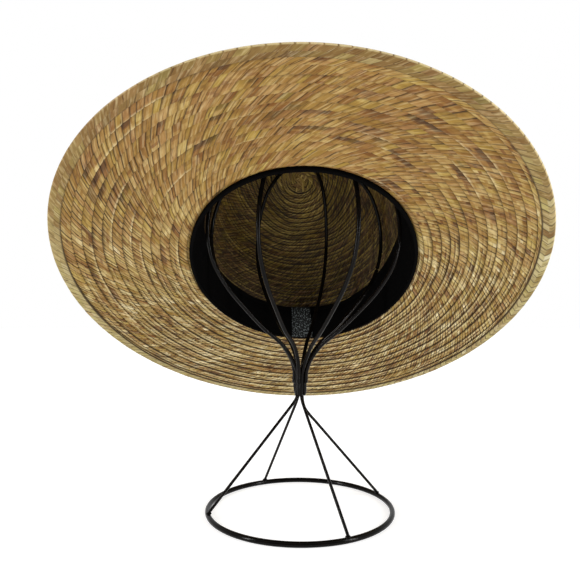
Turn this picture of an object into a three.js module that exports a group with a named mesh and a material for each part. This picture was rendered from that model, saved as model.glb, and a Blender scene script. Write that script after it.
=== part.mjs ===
// A wide-brimmed straw hat tipped back on its open wire stand.
// Millimetres, +Z up. The origin is on the floor, under the middle of the whole outline.

import * as THREE from 'three';

// Where the stand's ring and the hat's opening stand in the frame
const STAND_X = -4.06;
const STAND_Y = 17.03;
const HAT_X = 3.7;
const HAT_Y = -6.7;
const HAT_Z = 182.3;

// How the hat sits: its front tipped up, its right side a little lower, and turned a little
const HAT_TILT = THREE.MathUtils.degToRad(31.8);
const HAT_LEAN = THREE.MathUtils.degToRad(1.45);
const HAT_TURN = THREE.MathUtils.degToRad(5);

// Straw
const STRAW = 2.2;
const GAP = 0.3;
const HAT_SIDES = 60;

// Crown, measured on the inner face of the wall, from the opening up to the tip.
// Each row is an oval, turned a little about the crown's axis and set a little to the back.
const CROWN_ROWS = [
  { height: 4.5, halfWidth: 84.2, halfLength: 103.9, turn: 0, back: 0 },
  { height: 18, halfWidth: 81.1, halfLength: 103.2, turn: 1.8, back: 0.6 },
  { height: 31, halfWidth: 78.3, halfLength: 102.0, turn: 3.3, back: 1.2 },
  { height: 48, halfWidth: 76.6, halfLength: 99.8, turn: 3.3, back: 1.2 },
  { height: 64, halfWidth: 72.4, halfLength: 96.2, turn: 3.3, back: 1 },
  { height: 79, halfWidth: 67.8, halfLength: 89.5, turn: 3.3, back: 0.8 },
  { height: 91, halfWidth: 61.2, halfLength: 80.3, turn: 3.3, back: 0.6 },
  { height: 100, halfWidth: 51.5, halfLength: 68.0, turn: 3.3, back: 0.4 },
  { height: 106, halfWidth: 39.5, halfLength: 52.5, turn: 3.3, back: 0.2 },
  { height: 109.3, halfWidth: 27.0, halfLength: 36.0, turn: 3.3, back: 0 },
  { height: 110.8, halfWidth: 13.5, halfLength: 18.0, turn: 3.3, back: 0 },
  { height: 111.2, halfWidth: 0, halfLength: 0, turn: 3.3, back: 0 },
];

// The long dent in the top of the crown
const DENT_DEPTH = 15.9;
const DENT_FLAT_WIDTH = 12;
const DENT_HALF_WIDTH = 46;
const DENT_FLAT_LENGTH = 40;
const DENT_HALF_LENGTH = 88;

// Brim, measured on its lower face, outwards from the crown's wall
const BRIM_ROWS = [
  { out: 0, height: 4.2 },
  { out: 0.6, height: 2.1 },
  { out: 2.1, height: 0.6 },
  { out: 4.4, height: 0 },
  { out: 20, height: -2.2 },
  { out: 40, height: -6.2 },
  { out: 60, height: -11.3 },
  { out: 79, height: -16.7 },
];
const BRIM_WIDTH = 88.4;
const BRIM_DROP = 19.2;
const BRIM_FORWARD = 1.1;
const BRIM_EXTRA_LENGTH = 1.7;
const BRIM_TURN = -5.6;
const EDGE_THICKNESS = 2.8;
const EDGE_ROUND = 1;

// Sweatband and the small label at its back
const BAND_HEIGHTS = [3.6, 12, 21, 30.5];
const BAND_THICKNESS = 1.5;
const HEM_OUT = 0.9;
const HEM_TOP = 0.75;
const HEM_BOTTOM = -1.7;
const LABEL_WIDTH = 19;
const LABEL_LOW = -1.5;
const LABEL_HIGH = 30.3;
const LABEL_THICKNESS = 0.5;
const LABEL_GAP = 0.45;
const LABEL_TURN = 187;

// Stand: a floor ring, four thin legs, and eight thicker wires bowed into a cage.
// Four long wires make the neck, and four short ones are welded on above it.
const RING_RADIUS = 69.1;
const RING_WIRE = 3.9;
const RING_SIDES = 48;
const LEG_WIRE = 2.2;
const WIRE = 3;
const WIRE_SIDES = 8;
const WIRE_STEPS = 18;
const NECK_Z = 86;
const NECK_RADIUS = 2.4;
const SHORT_Z = 96;
const SHORT_RADIUS = 4.7;
const NECK_TURN = -15.7;
const SPREAD_RADIUS = 30;
const BLENDED_ROWS = 2;
const CAGE_LEAN_SIDE = THREE.MathUtils.degToRad(1.94);
const CAGE_LEAN_FRONT = THREE.MathUtils.degToRad(0.98);
const LONG_START = [
  { height: NECK_Z, radius: NECK_RADIUS },
  { height: 98, radius: NECK_RADIUS },
  { height: 104, radius: 2.9 },
  { height: 109.5, radius: 5.3 },
];
const SHORT_START = [
  { height: SHORT_Z, radius: SHORT_RADIUS },
  { height: 104, radius: 4.8 },
  { height: 109.5, radius: 6.2 },
];
const BOW_ROWS = [
  { height: 122.5, radius: 14.3 },
  { height: 136.5, radius: 31.9 },
  { height: 150, radius: 46.7 },
  { height: 168, radius: 63.7 },
  { height: 186, radius: 74.8 },
  { height: 204.5, radius: 79.0 },
  { height: 223, radius: 77.6 },
  { height: 238, radius: 72.6 },
  { height: 252.5, radius: 62.9 },
  { height: 262, radius: 48.2 },
  { height: 268.2, radius: 28.2 },
  { height: 271.4, radius: 12 },
];
const CAGE_TOP = 271.8;

// Each cage wire: its bearing in degrees from the right side, how far it bows, and where it stops at the top
const THROUGH_END = 0.26;
const CROSS_END = 2.1;
const DIAGONAL_END = 5.4;
const CAGE_WIRES = [
  { bearing: -20, bow: 0.922, end: DIAGONAL_END, start: SHORT_START },
  { bearing: 34.4, bow: 1, end: CROSS_END, start: LONG_START },
  { bearing: 75.2, bow: 1, end: DIAGONAL_END, start: SHORT_START },
  { bearing: 122, bow: 1, end: THROUGH_END, start: LONG_START },
  { bearing: 167, bow: 0.975, end: DIAGONAL_END, start: SHORT_START },
  { bearing: 204.7, bow: 0.975, end: CROSS_END, start: LONG_START },
  { bearing: 247.3, bow: 1, end: DIAGONAL_END, start: SHORT_START },
  { bearing: 295.4, bow: 1, end: THROUGH_END, start: LONG_START },
];

// Each leg: the long wire that it is welded under, the bearing of its foot, and how far down it bends out
const LEG_GAP = 0.38;
const LEG_BEND_LENGTH = 7;
const LEG_STEPS = 9;
const LEGS = [
  { wire: 1, bearing: 25.7, bend: 8.5 },
  { wire: 3, bearing: 115.9, bend: 2.5 },
  { wire: 5, bearing: 197.8, bend: 2.5 },
  { wire: 7, bearing: -63.1, bend: 2.5 },
];

function material(color, roughness, metalness) {
  return new THREE.MeshStandardMaterial({ color, roughness, metalness });
}

const STRAW_FINISH = material(0xc4a873, 0.75, 0);
const EDGE_FINISH = material(0xcdb481, 0.75, 0);
const BAND_FINISH = material(0x15161a, 0.95, 0);
const LABEL_FINISH = material(0x4c545a, 0.85, 0);
const WIRE_FINISH = material(0x2b211e, 0.4, 0.6);

function named(name, geometry, finish) {
  const mesh = new THREE.Mesh(geometry, finish);
  mesh.name = name;
  return mesh;
}

// Reads a column of a table of rows at any height between the first row and the last.
function atHeight(rows, height, column) {
  let i = 1;
  while (i < rows.length - 1 && rows[i].height < height) {
    i += 1;
  }
  const below = rows[i - 1];
  const above = rows[i];
  const share = (height - below.height) / (above.height - below.height);
  return THREE.MathUtils.lerp(below[column], above[column], share);
}

// A wall point is a place on an oval's side, with what makes the whole oval out of it.
function wallPoint(halfWidth, extra, height, turn, back) {
  return { halfWidth, extra, height, turn, back };
}

// The place on a wall point's oval at a bearing about the crown's axis, in degrees from the front.
function onOval(point, bearing) {
  const own = THREE.MathUtils.degToRad(bearing - point.turn);
  const turn = THREE.MathUtils.degToRad(point.turn);
  const place = new THREE.Vector2(
    point.halfWidth * Math.sin(own),
    -(point.halfWidth + point.extra) * Math.cos(own),
  );
  place.rotateAround(new THREE.Vector2(0, 0), turn);
  place.y += point.back;
  return place;
}

// Moves a line of wall points sideways by a thickness, square to the line.
function offsetLine(line, thickness) {
  return line.map((point, i) => {
    const before = line[Math.max(i - 1, 0)];
    const after = line[Math.min(i + 1, line.length - 1)];
    const along = new THREE.Vector2(after.halfWidth - before.halfWidth, after.height - before.height);
    along.normalize();
    const halfWidth = Math.max(point.halfWidth + along.y * thickness, 0);
    return { ...point, halfWidth, height: point.height - along.x * thickness };
  });
}

function noDent() {
  return 0;
}

// How far the top of the crown is pressed down at a place.
function crownDent(x, y) {
  const across = 1 - THREE.MathUtils.smoothstep(Math.abs(x), DENT_FLAT_WIDTH, DENT_HALF_WIDTH);
  const along = 1 - THREE.MathUtils.smoothstep(Math.abs(y), DENT_FLAT_LENGTH, DENT_HALF_LENGTH);
  return DENT_DEPTH * across * along;
}

// Turns a line of wall points about the crown's axis and draws the rounds out to ovals, front at -Y.
function ovalBody(line, dent = noDent) {
  const profile = line.map((point) => new THREE.Vector2(point.halfWidth, point.height));
  const geometry = new THREE.LatheGeometry(profile, HAT_SIDES);
  const position = geometry.attributes.position;
  for (let i = 0; i <= HAT_SIDES; i += 1) {
    line.forEach((point, j) => {
      const place = onOval(point, ((i % HAT_SIDES) / HAT_SIDES) * 360);
      position.setXYZ(i * line.length + j, place.x, place.y, point.height - dent(place.x, place.y));
    });
  }
  geometry.computeVertexNormals();
  return geometry;
}

// A point on the crown's inner wall at any height, stood off inwards.
function insideWall(height, standOff) {
  const from = Math.max(height, CROWN_ROWS[0].height);
  const column = (name) => atHeight(CROWN_ROWS, from, name);
  const halfWidth = column('halfWidth');
  const extra = column('halfLength') - halfWidth;
  return wallPoint(halfWidth - standOff, extra, height, column('turn'), column('back'));
}

// The crown is one wall, from its tip down the inner face and back up the outer one.
function crown() {
  const inner = CROWN_ROWS.map((row) => insideWall(row.height, 0));
  const outer = offsetLine(inner, STRAW);
  outer[0].halfWidth = inner[0].halfWidth + STRAW;
  outer[0].height = inner[0].height;
  outer[outer.length - 1].halfWidth = 0;
  return ovalBody([...inner.reverse(), ...outer], crownDent);
}

function brimPoint(out, height) {
  const base = insideWall(CROWN_ROWS[0].height, 0);
  const share = out / BRIM_WIDTH;
  const extra = base.extra + BRIM_EXTRA_LENGTH * share;
  return wallPoint(base.halfWidth + out, extra, height, BRIM_TURN * share, -BRIM_FORWARD * share);
}

function closeLoop(line) {
  return [...line, line[0]];
}

// The brim turns out of the crown in a small round and then falls gently to its edge.
function brim() {
  const lower = BRIM_ROWS.map((row) => brimPoint(row.out, row.height));
  const upper = offsetLine(lower, -STRAW);
  upper[0] = brimPoint(STRAW, lower[0].height);
  return ovalBody(closeLoop([...lower, ...upper.reverse()]));
}

// The braid round the brim's edge carries on from the brim, a little thicker and rounded outside.
function edgeBraid() {
  const last = BRIM_ROWS[BRIM_ROWS.length - 1];
  const fall = Math.atan2(BRIM_DROP + last.height, BRIM_WIDTH - last.out);
  const proud = (EDGE_THICKNESS - STRAW) / 2;
  const at = (out, up) => brimPoint(
    out + up * Math.sin(fall),
    last.height - (out - last.out) * Math.tan(fall) + up * Math.cos(fall),
  );
  const start = last.out + GAP;
  const top = STRAW + proud;
  const middle = STRAW / 2;
  return ovalBody(closeLoop([
    at(start, -proud),
    at(BRIM_WIDTH - EDGE_ROUND, -proud),
    at(BRIM_WIDTH, middle),
    at(BRIM_WIDTH - EDGE_ROUND, top),
    at(start, top),
  ]));
}

// The sweatband lies against the wall and ends in a thicker hem at the opening.
function sweatband() {
  const outside = BAND_HEIGHTS.map((height) => insideWall(height, GAP));
  const inside = BAND_HEIGHTS.map((height) => insideWall(height, GAP + BAND_THICKNESS));
  return ovalBody(closeLoop([
    insideWall(HEM_TOP, -HEM_OUT),
    ...outside,
    ...inside.reverse(),
    insideWall(HEM_BOTTOM, GAP + BAND_THICKNESS),
    insideWall(HEM_BOTTOM, -HEM_OUT),
  ]));
}

// The label is a thin strip bent to the sweatband's inner face, near the back.
function bandLabel() {
  const geometry = new THREE.BoxGeometry(LABEL_WIDTH, LABEL_THICKNESS, LABEL_HIGH - LABEL_LOW, 4, 1, 4);
  const position = geometry.attributes.position;
  const middleHeight = (LABEL_LOW + LABEL_HIGH) / 2;
  for (let i = 0; i < position.count; i += 1) {
    const height = middleHeight + position.getZ(i);
    const standOff = GAP + BAND_THICKNESS + LABEL_GAP + LABEL_THICKNESS / 2 - position.getY(i);
    const wall = insideWall(height, standOff);
    const across = THREE.MathUtils.radToDeg(position.getX(i) / wall.halfWidth);
    const place = onOval(wall, LABEL_TURN - across);
    position.setXYZ(i, place.x, place.y, height);
  }
  geometry.computeVertexNormals();
  return geometry;
}

function hat() {
  const group = new THREE.Group();
  group.add(named('crown', crown(), STRAW_FINISH));
  group.add(named('brim', brim(), STRAW_FINISH));
  group.add(named('edge_braid', edgeBraid(), EDGE_FINISH));
  group.add(named('sweatband', sweatband(), BAND_FINISH));
  group.add(named('band_label', bandLabel(), LABEL_FINISH));
  group.position.set(HAT_X, HAT_Y, HAT_Z);
  group.rotation.set(-HAT_TILT, -HAT_LEAN, -HAT_TURN);
  return group;
}

// A round section with flat facets, a whole one of them facing straight down.
function roundSection(diameter, sides) {
  const radius = diameter / 2 / Math.cos(Math.PI / sides);
  const points = [];
  for (let i = 0; i < sides; i += 1) {
    const angle = ((i + 0.5) / sides) * 2 * Math.PI;
    points.push(new THREE.Vector2(radius * Math.cos(angle), radius * Math.sin(angle)));
  }
  return points;
}

function floorRing() {
  const section = roundSection(RING_WIRE, WIRE_SIDES);
  const profile = section.map((point) => new THREE.Vector2(RING_RADIUS + point.x, RING_WIRE / 2 + point.y));
  const geometry = new THREE.LatheGeometry(closeLoop(profile), RING_SIDES);
  geometry.rotateX(Math.PI / 2);
  return geometry;
}

function wireAlong(path, diameter, steps) {
  const section = new THREE.Shape(roundSection(diameter, WIRE_SIDES));
  return new THREE.ExtrudeGeometry(section, { steps, bevelEnabled: false, extrudePath: path });
}

function polar(radius, bearing, height) {
  const angle = THREE.MathUtils.degToRad(bearing);
  return new THREE.Vector3(radius * Math.cos(angle), radius * Math.sin(angle), height);
}

function neckBearing(index) {
  return NECK_TURN + (360 / CAGE_WIRES.length) * index;
}

// A cage wire rises at the neck, turns out to its own bearing, bows round and comes in at the top.
function cageWire(wire, index) {
  const points = [...wire.start, ...BOW_ROWS].map((row, i) => {
    const spread = THREE.MathUtils.smoothstep(row.radius, NECK_RADIUS, SPREAD_RADIUS);
    const bowed = i >= wire.start.length + BLENDED_ROWS;
    const bearing = THREE.MathUtils.lerp(neckBearing(index), wire.bearing, bowed ? 1 : spread);
    const bow = THREE.MathUtils.lerp(1, wire.bow, spread);
    return polar(row.radius * bow, bearing, row.height - NECK_Z);
  });
  points.push(polar(wire.end, wire.bearing, CAGE_TOP - NECK_Z));
  return wireAlong(new THREE.CatmullRomCurve3(points), WIRE, WIRE_STEPS);
}

// A leg hangs from under its long wire, bends out and runs straight down to the top of the floor ring.
function leg(row) {
  const top = polar(NECK_RADIUS, neckBearing(row.wire), NECK_Z - LEG_GAP);
  const elbow = top.clone().setZ(NECK_Z - row.bend);
  const foot = polar(RING_RADIUS, row.bearing, RING_WIRE + LEG_GAP);
  const slope = Math.atan2(RING_RADIUS - NECK_RADIUS, elbow.z - foot.z);
  foot.z += (LEG_WIRE / 2) * Math.sin(slope);
  const out = foot.clone().sub(elbow).setLength(LEG_BEND_LENGTH).add(elbow);
  const path = new THREE.CurvePath();
  path.add(new THREE.QuadraticBezierCurve3(top, elbow, out));
  path.add(new THREE.LineCurve3(out, foot));
  return wireAlong(path, LEG_WIRE, LEG_STEPS);
}

function stand() {
  const group = new THREE.Group();
  group.add(named('floor_ring', floorRing(), WIRE_FINISH));
  LEGS.forEach((row, i) => {
    group.add(named(`leg_${i + 1}`, leg(row), WIRE_FINISH));
  });
  const cage = new THREE.Group();
  CAGE_WIRES.forEach((wire, i) => {
    cage.add(named(`cage_wire_${i + 1}`, cageWire(wire, i), WIRE_FINISH));
  });
  cage.position.set(0, 0, NECK_Z);
  cage.rotation.set(CAGE_LEAN_FRONT, CAGE_LEAN_SIDE, 0);
  group.add(cage);
  return group;
}

const hatOnStand = new THREE.Group();
hatOnStand.add(stand());
hatOnStand.add(hat());
hatOnStand.position.set(STAND_X, STAND_Y, 0);

export default hatOnStand;
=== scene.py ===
"""A wide-brimmed straw hat tipped back on its open wire stand.

Sizes are millimetres in the classes below and metres in the meshes. The hat's own frame has X to the right,
Y to the back and Z up the crown's axis, with its origin in the middle of the opening.
"""

import logging
import math
from collections.abc import Callable
from dataclasses import dataclass, field, replace
from enum import Enum
from functools import cached_property

import bpy
import numpy as np
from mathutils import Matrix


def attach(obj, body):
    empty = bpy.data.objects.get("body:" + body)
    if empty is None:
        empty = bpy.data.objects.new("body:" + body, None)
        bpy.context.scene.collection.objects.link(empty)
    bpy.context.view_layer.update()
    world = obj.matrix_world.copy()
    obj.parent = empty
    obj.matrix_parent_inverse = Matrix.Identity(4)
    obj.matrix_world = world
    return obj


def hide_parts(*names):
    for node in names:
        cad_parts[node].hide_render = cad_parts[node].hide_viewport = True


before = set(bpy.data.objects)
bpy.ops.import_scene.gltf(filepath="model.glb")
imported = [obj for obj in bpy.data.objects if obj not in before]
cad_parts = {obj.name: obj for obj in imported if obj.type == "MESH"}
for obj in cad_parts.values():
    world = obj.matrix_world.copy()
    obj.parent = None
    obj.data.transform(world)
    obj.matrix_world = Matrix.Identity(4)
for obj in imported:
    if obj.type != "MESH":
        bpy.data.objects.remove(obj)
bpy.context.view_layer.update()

LOG = logging.getLogger("straw_hat")
BODY = "root"
MM = 0.001
FULL_TURN = 360.0
# How far apart the streaks of two strands may be read, in millimetres.
FIBRE_SHIFT = 900.0
# Stands for no pressed stretch at an end of a wall.
UNPRESSED = -9.0
Pair = tuple[float, float]
Triple = tuple[float, float, float]
Colour = tuple[float, float, float, float]
Socket = bpy.types.NodeSocket
Material = bpy.types.Material


class Side(Enum):
    """The two faces of a straw wall, with the sign of the way that each one faces."""

    INNER = -1
    OUTER = 1


def smoothstep(values: np.ndarray, low: float, high: float) -> np.ndarray:
    """Ease from 0 to 1 between two limits.

    Args:
        values: Numbers to ease.
        low: Where the result leaves 0.
        high: Where the result reaches 1.

    Returns:
        The eased numbers.
    """
    share = np.clip((values - low) / (high - low), 0.0, 1.0)
    return share * share * (3.0 - 2.0 * share)


def curve_through(knots: np.ndarray, values: np.ndarray, at: np.ndarray) -> np.ndarray:
    """Read a smooth curve through a table's values.

    Args:
        knots: Rising positions of the table's rows.
        values: The value in each row.
        at: Positions to read.

    Returns:
        The value at each position.
    """
    slopes = np.gradient(values, knots)
    i = np.clip(np.searchsorted(knots, at, side="right") - 1, 0, len(knots) - 2)
    span = knots[i + 1] - knots[i]
    t = np.clip((at - knots[i]) / span, 0.0, 1.0)
    rise = 3 * t**2 - 2 * t**3
    leave = (t**3 - 2 * t**2 + t) * span * slopes[i]
    arrive = (t**3 - t**2) * span * slopes[i + 1]
    return values[i] * (1 - rise) + values[i + 1] * rise + leave + arrive


def towards_back(bearing: np.ndarray) -> np.ndarray:
    """Ease from 0 at the hat's front and sides to 1 at its back, by bearing in degrees."""
    return smoothstep(-np.cos(np.radians(bearing)), 0.0, 0.9)


def edge_start(bearing: np.ndarray) -> np.ndarray:
    """Say how many millimetres of the edge's strip the brim's rows still cover, by bearing."""
    side = 2.7 - np.clip(np.sin(np.radians(bearing)), 0.0, 1.0)
    return side + (4.0 - side) * towards_back(bearing)


def unit(vectors: np.ndarray) -> np.ndarray:
    """Scale vectors to length one."""
    return vectors / np.maximum(np.linalg.norm(vectors, axis=-1, keepdims=True), 1e-12)


def running(steps: np.ndarray) -> np.ndarray:
    """Add steps up, from 0."""
    return np.concatenate([[0.0], np.cumsum(steps)])


def lengths_along(line: np.ndarray) -> np.ndarray:
    """Measure the length along a line of points, up to each of them."""
    return running(np.linalg.norm(np.diff(line, axis=0), axis=-1))


def turn_about(axis: int, angle: float) -> np.ndarray:
    """Give the matrix of a turn in radians about X, Y or Z, which are 0, 1 and 2."""
    matrix = np.eye(3)
    one, other = (axis + 1) % 3, (axis + 2) % 3
    matrix[one, one] = matrix[other, other] = math.cos(angle)
    matrix[one, other], matrix[other, one] = -math.sin(angle), math.sin(angle)
    return matrix


def linear(code: str) -> Colour:
    """Turn a screen colour, as six hexadecimal digits, into the linear colour that the shaders take."""
    parts = [int(code[i : i + 2], 16) / 255.0 for i in (0, 2, 4)]
    red, green, blue = (p / 12.92 if p <= 0.04045 else ((p + 0.055) / 1.055) ** 2.4 for p in parts)
    return (red, green, blue, 1.0)


def put_in_scene(name: str, data: bpy.types.ID) -> bpy.types.Object:
    """Make an object of a mesh, a lamp or a camera and link it to the scene."""
    made = bpy.data.objects.new(name, data)
    bpy.context.scene.collection.objects.link(made)
    return made


def face_corners(
    shape: tuple[int, int], place: Callable[[int, int], tuple[np.ndarray, np.ndarray]]
) -> np.ndarray:
    """Gather the place along and across the fibres of every face's four corners.

    Args:
        shape: Columns and rows of faces.
        place: Gives the two, with 0 for the nearer and 1 for the further column and row of each face's corners.

    Returns:
        The places, by column, row and corner.
    """
    corners = np.zeros((*shape, 4, 2))
    for i, (column, row) in enumerate(((0, 0), (1, 0), (1, 1), (0, 1))):
        corners[..., i, 0], corners[..., i, 1] = place(column, row)
    return corners


class Ripple:
    """A smooth random unevenness between about -1 and 1, made of a few waves."""

    def __init__(self, seed: int, wavelength: float, waves: int = 7) -> None:
        """Draw the waves.

        Args:
            seed: Seed of the random draws.
            wavelength: Typical length of a wave, in the units of the places that are read.
            waves: How many waves are added up.
        """
        rng = np.random.default_rng(seed)
        size = rng.uniform(0.7, 1.6, waves) * 2 * math.pi / wavelength
        self.steps = unit(rng.normal(size=(waves, 3))) * size[:, None]
        self.phases = rng.uniform(0, 2 * math.pi, waves)

    def at(self, places: np.ndarray) -> np.ndarray:
        """Read the unevenness at places.

        Args:
            places: Points, with X, Y and Z last.

        Returns:
            One number for each point.
        """
        total = np.sin(places @ self.steps.T + self.phases).sum(axis=-1)
        return total / math.sqrt(len(self.phases))

    def along(self, lengths: np.ndarray) -> np.ndarray:
        """Read the unevenness along a straight line, at lengths from its start."""
        return self.at(lengths[..., None] * np.array([0.62, 0.58, 0.53]))


@dataclass
class Sheet:
    """A grid of points with what its shader reads.

    Attributes:
        points: Points in metres, by column and row.
        closed_columns: Whether the last column joins the first.
        closed_rows: Whether the last row joins the first.
        point_values: Named numbers for each point.
        face_values: Named numbers for each face.
        fibre: Place along and across the fibres of each face's four corners.
        keep: Which faces are made, where some are left out.
    """

    points: np.ndarray
    closed_columns: bool = False
    closed_rows: bool = False
    point_values: dict[str, np.ndarray] = field(default_factory=dict)
    face_values: dict[str, np.ndarray] = field(default_factory=dict)
    fibre: np.ndarray | None = None
    keep: np.ndarray | None = None

    def faces(self) -> np.ndarray:
        """List the corners of every face, in the order of columns and rows."""
        columns, rows = self.points.shape[:2]
        j, k = np.meshgrid(
            np.arange(columns if self.closed_columns else columns - 1),
            np.arange(rows if self.closed_rows else rows - 1),
            indexing="ij",
        )
        j2, k2 = (j + 1) % columns, (k + 1) % rows
        corners = [j * rows + k, j2 * rows + k, j2 * rows + k2, j * rows + k2]
        return np.stack(corners, axis=-1).reshape(-1, 4)


class MeshMaker:
    """Gathers grids of points with their values into one piece."""

    # Each point's dark joints with painted shade, and its painted highlight.
    POINT_NAMES = ("joint_and_painted_shade", "painted_highlight")
    FACE_NAMES = ("tint", "warmth")

    def __init__(self, name: str) -> None:
        """Start an empty piece of that name."""
        self.name = name
        self.points: list[np.ndarray] = []
        self.corners: list[np.ndarray] = []
        self.fibre: list[np.ndarray] = []
        self.point_values: dict[str, list[np.ndarray]] = {n: [] for n in self.POINT_NAMES}
        self.face_values: dict[str, list[np.ndarray]] = {n: [] for n in self.FACE_NAMES}

    def add(self, sheet: Sheet, flip: bool = False) -> None:
        """Add a grid.

        Args:
            sheet: The grid.
            flip: Whether its faces are turned over.
        """
        points, faces = sheet.points.reshape(-1, 3), sheet.faces()
        keep = np.ones(len(faces), bool) if sheet.keep is None else sheet.keep.reshape(-1)
        fibre = np.zeros((len(faces), 4, 2)) if sheet.fibre is None else sheet.fibre.reshape(-1, 4, 2)
        if flip:
            faces, fibre = faces[:, ::-1], fibre[:, ::-1]
        self.corners.append(faces[keep] + sum(len(p) for p in self.points))
        self.points.append(points)
        self.fibre.append(fibre[keep])
        for name, kept in self.point_values.items():
            kept.append(sheet.point_values.get(name, np.zeros(len(points))).reshape(-1))
        for name, kept in self.face_values.items():
            kept.append(sheet.face_values.get(name, np.full(len(faces), 0.5)).reshape(-1)[keep])

    def make(self, material: Material, slot: str, *replaced: str) -> bpy.types.Object:
        """Build the piece, dress it and tie it to the frame.

        Args:
            material: The piece's finish.
            slot: The record's material slot; not used.
            replaced: CAD nodes that the piece stands for.

        Returns:
            The new object.
        """
        points = np.concatenate(self.points)
        faces = np.concatenate(self.corners)
        mesh = bpy.data.meshes.new(self.name)
        mesh.from_pydata(points.tolist(), [], faces.tolist())
        for domain, table in (("POINT", self.point_values), ("FACE", self.face_values)):
            for name, parts in table.items():
                layer = mesh.attributes.new(name, "FLOAT", domain)
                layer.data.foreach_set("value", np.concatenate(parts).astype(np.float32))
        layer = mesh.uv_layers.new(name="fibre")
        layer.data.foreach_set("uv", np.concatenate(self.fibre).reshape(-1).astype(np.float32))
        mesh.shade_smooth()
        mesh.materials.append(material)
        piece = put_in_scene(self.name, mesh)
        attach(piece, BODY)
        if replaced:
            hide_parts(*replaced)
        LOG.info("%s: %d triangles", self.name, 2 * len(faces))
        return piece


class NodeSketch:
    """A short way to wire a material's nodes."""

    def __init__(self, name: str) -> None:
        """Start a material with one main shader."""
        self.material = bpy.data.materials.new(name)
        self.material.use_nodes = True
        self.tree = self.material.node_tree
        self.shader = self.tree.nodes["Principled BSDF"]

    def node(self, kind: str, **settings: object) -> bpy.types.Node:
        """Add a node.

        Args:
            kind: The node's type without its ShaderNode prefix.
            settings: Properties to set on it.

        Returns:
            The node.
        """
        made = self.tree.nodes.new("ShaderNode" + kind)
        for key, value in settings.items():
            setattr(made, key, value)
        return made

    def link(self, source: Socket, target: Socket) -> None:
        """Join an output to an input."""
        self.tree.links.new(source, target)

    def value(self, name: str) -> Socket:
        """Read one of the mesh's named numbers."""
        return self.node("Attribute", attribute_name=name).outputs["Fac"]

    def set(self, **sockets: float | Colour) -> None:
        """Set the main shader's own sockets, with _ for each space in a name."""
        for name, value in sockets.items():
            self.shader.inputs[name.replace("_", " ")].default_value = value

    def noise(
        self,
        place: Socket,
        stretch: Triple,
        detail: float = 2.0,
        roughness: float = 0.5,
    ) -> Socket:
        """Add a noise that is stretched along one way.

        Args:
            place: Where it is read.
            stretch: Waves for each unit, along each axis.
            detail: Number of finer layers.
            roughness: Strength of the finer layers.

        Returns:
            The noise's number.
        """
        mapping = self.node("Mapping")
        mapping.inputs["Scale"].default_value = stretch
        self.link(place, mapping.inputs["Vector"])
        noise = self.node("TexNoise")
        noise.inputs["Scale"].default_value = 1.0
        noise.inputs["Detail"].default_value = detail
        noise.inputs["Roughness"].default_value = roughness
        self.link(mapping.outputs["Vector"], noise.inputs["Vector"])
        return noise.outputs["Fac"]

    def ramp(self, source: Socket, stops: list[tuple[float, Colour]]) -> Socket:
        """Turn a number into a colour.

        Args:
            source: The number.
            stops: Positions and colours, in rising order.

        Returns:
            The colour.
        """
        ramp = self.node("ValToRGB")
        elements = ramp.color_ramp.elements
        while len(elements) < len(stops):
            elements.new(0.5)
        for element, (position, colour) in zip(elements, stops):
            element.position = position
            element.color = colour
        self.link(source, ramp.inputs["Fac"])
        return ramp.outputs["Color"]

    def span(self, source: Socket, low: float, high: float, first: float, last: float) -> Socket:
        """Carry a number from one range to another, with a clamp.

        Args:
            source: The number.
            low: The source's value that gives first.
            high: The source's value that gives last.
            first: Result at low.
            last: Result at high.

        Returns:
            The new number.
        """
        span = self.node("MapRange", clamp=True)
        for name, number in (("From Min", low), ("From Max", high), ("To Min", first), ("To Max", last)):
            span.inputs[name].default_value = number
        self.link(source, span.inputs["Value"])
        return span.outputs["Result"]

    def times(self, one: Socket, other: Socket) -> Socket:
        """Multiply two numbers."""
        node = self.node("Math", operation="MULTIPLY")
        self.link(one, node.inputs[0])
        self.link(other, node.inputs[1])
        return node.outputs[0]

    def blend(self, share: Socket, base: Socket, colour: Colour) -> Socket:
        """Lay one colour over another.

        Args:
            share: How much of the new colour shows.
            base: The colour beneath.
            colour: The colour laid over it.

        Returns:
            The mixed colour.
        """
        mix = self.node("Mix", data_type="RGBA")
        self.link(share, mix.inputs["Factor"])
        self.link(base, mix.inputs[6])
        mix.inputs[7].default_value = colour
        return mix.outputs[2]

    def stain(self, base: Socket, source: Socket, part: Triple, code: str) -> Socket:
        """Lay a screen colour over a base by a number: part holds where it begins and is full, and its most."""
        low, high, most = part
        return self.blend(self.span(source, low, high, 0.0, most), base, linear(code))

    def bump(self, height: Socket, depth: float, strength: float = 1.0) -> None:
        """Raise the surface by a number.

        Args:
            height: The number.
            depth: Height in metres where the number is one.
            strength: Share of the effect.
        """
        bump = self.node("Bump")
        bump.inputs["Distance"].default_value = depth
        bump.inputs["Strength"].default_value = strength
        self.link(height, bump.inputs["Height"])
        self.link(bump.outputs["Normal"], self.shader.inputs["Normal"])

    def colour(self, source: Socket) -> None:
        """Give the main shader its colour."""
        self.link(source, self.shader.inputs["Base Color"])

    def rough(self, source: Socket) -> None:
        """Give the main shader its roughness."""
        self.link(source, self.shader.inputs["Roughness"])


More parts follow.
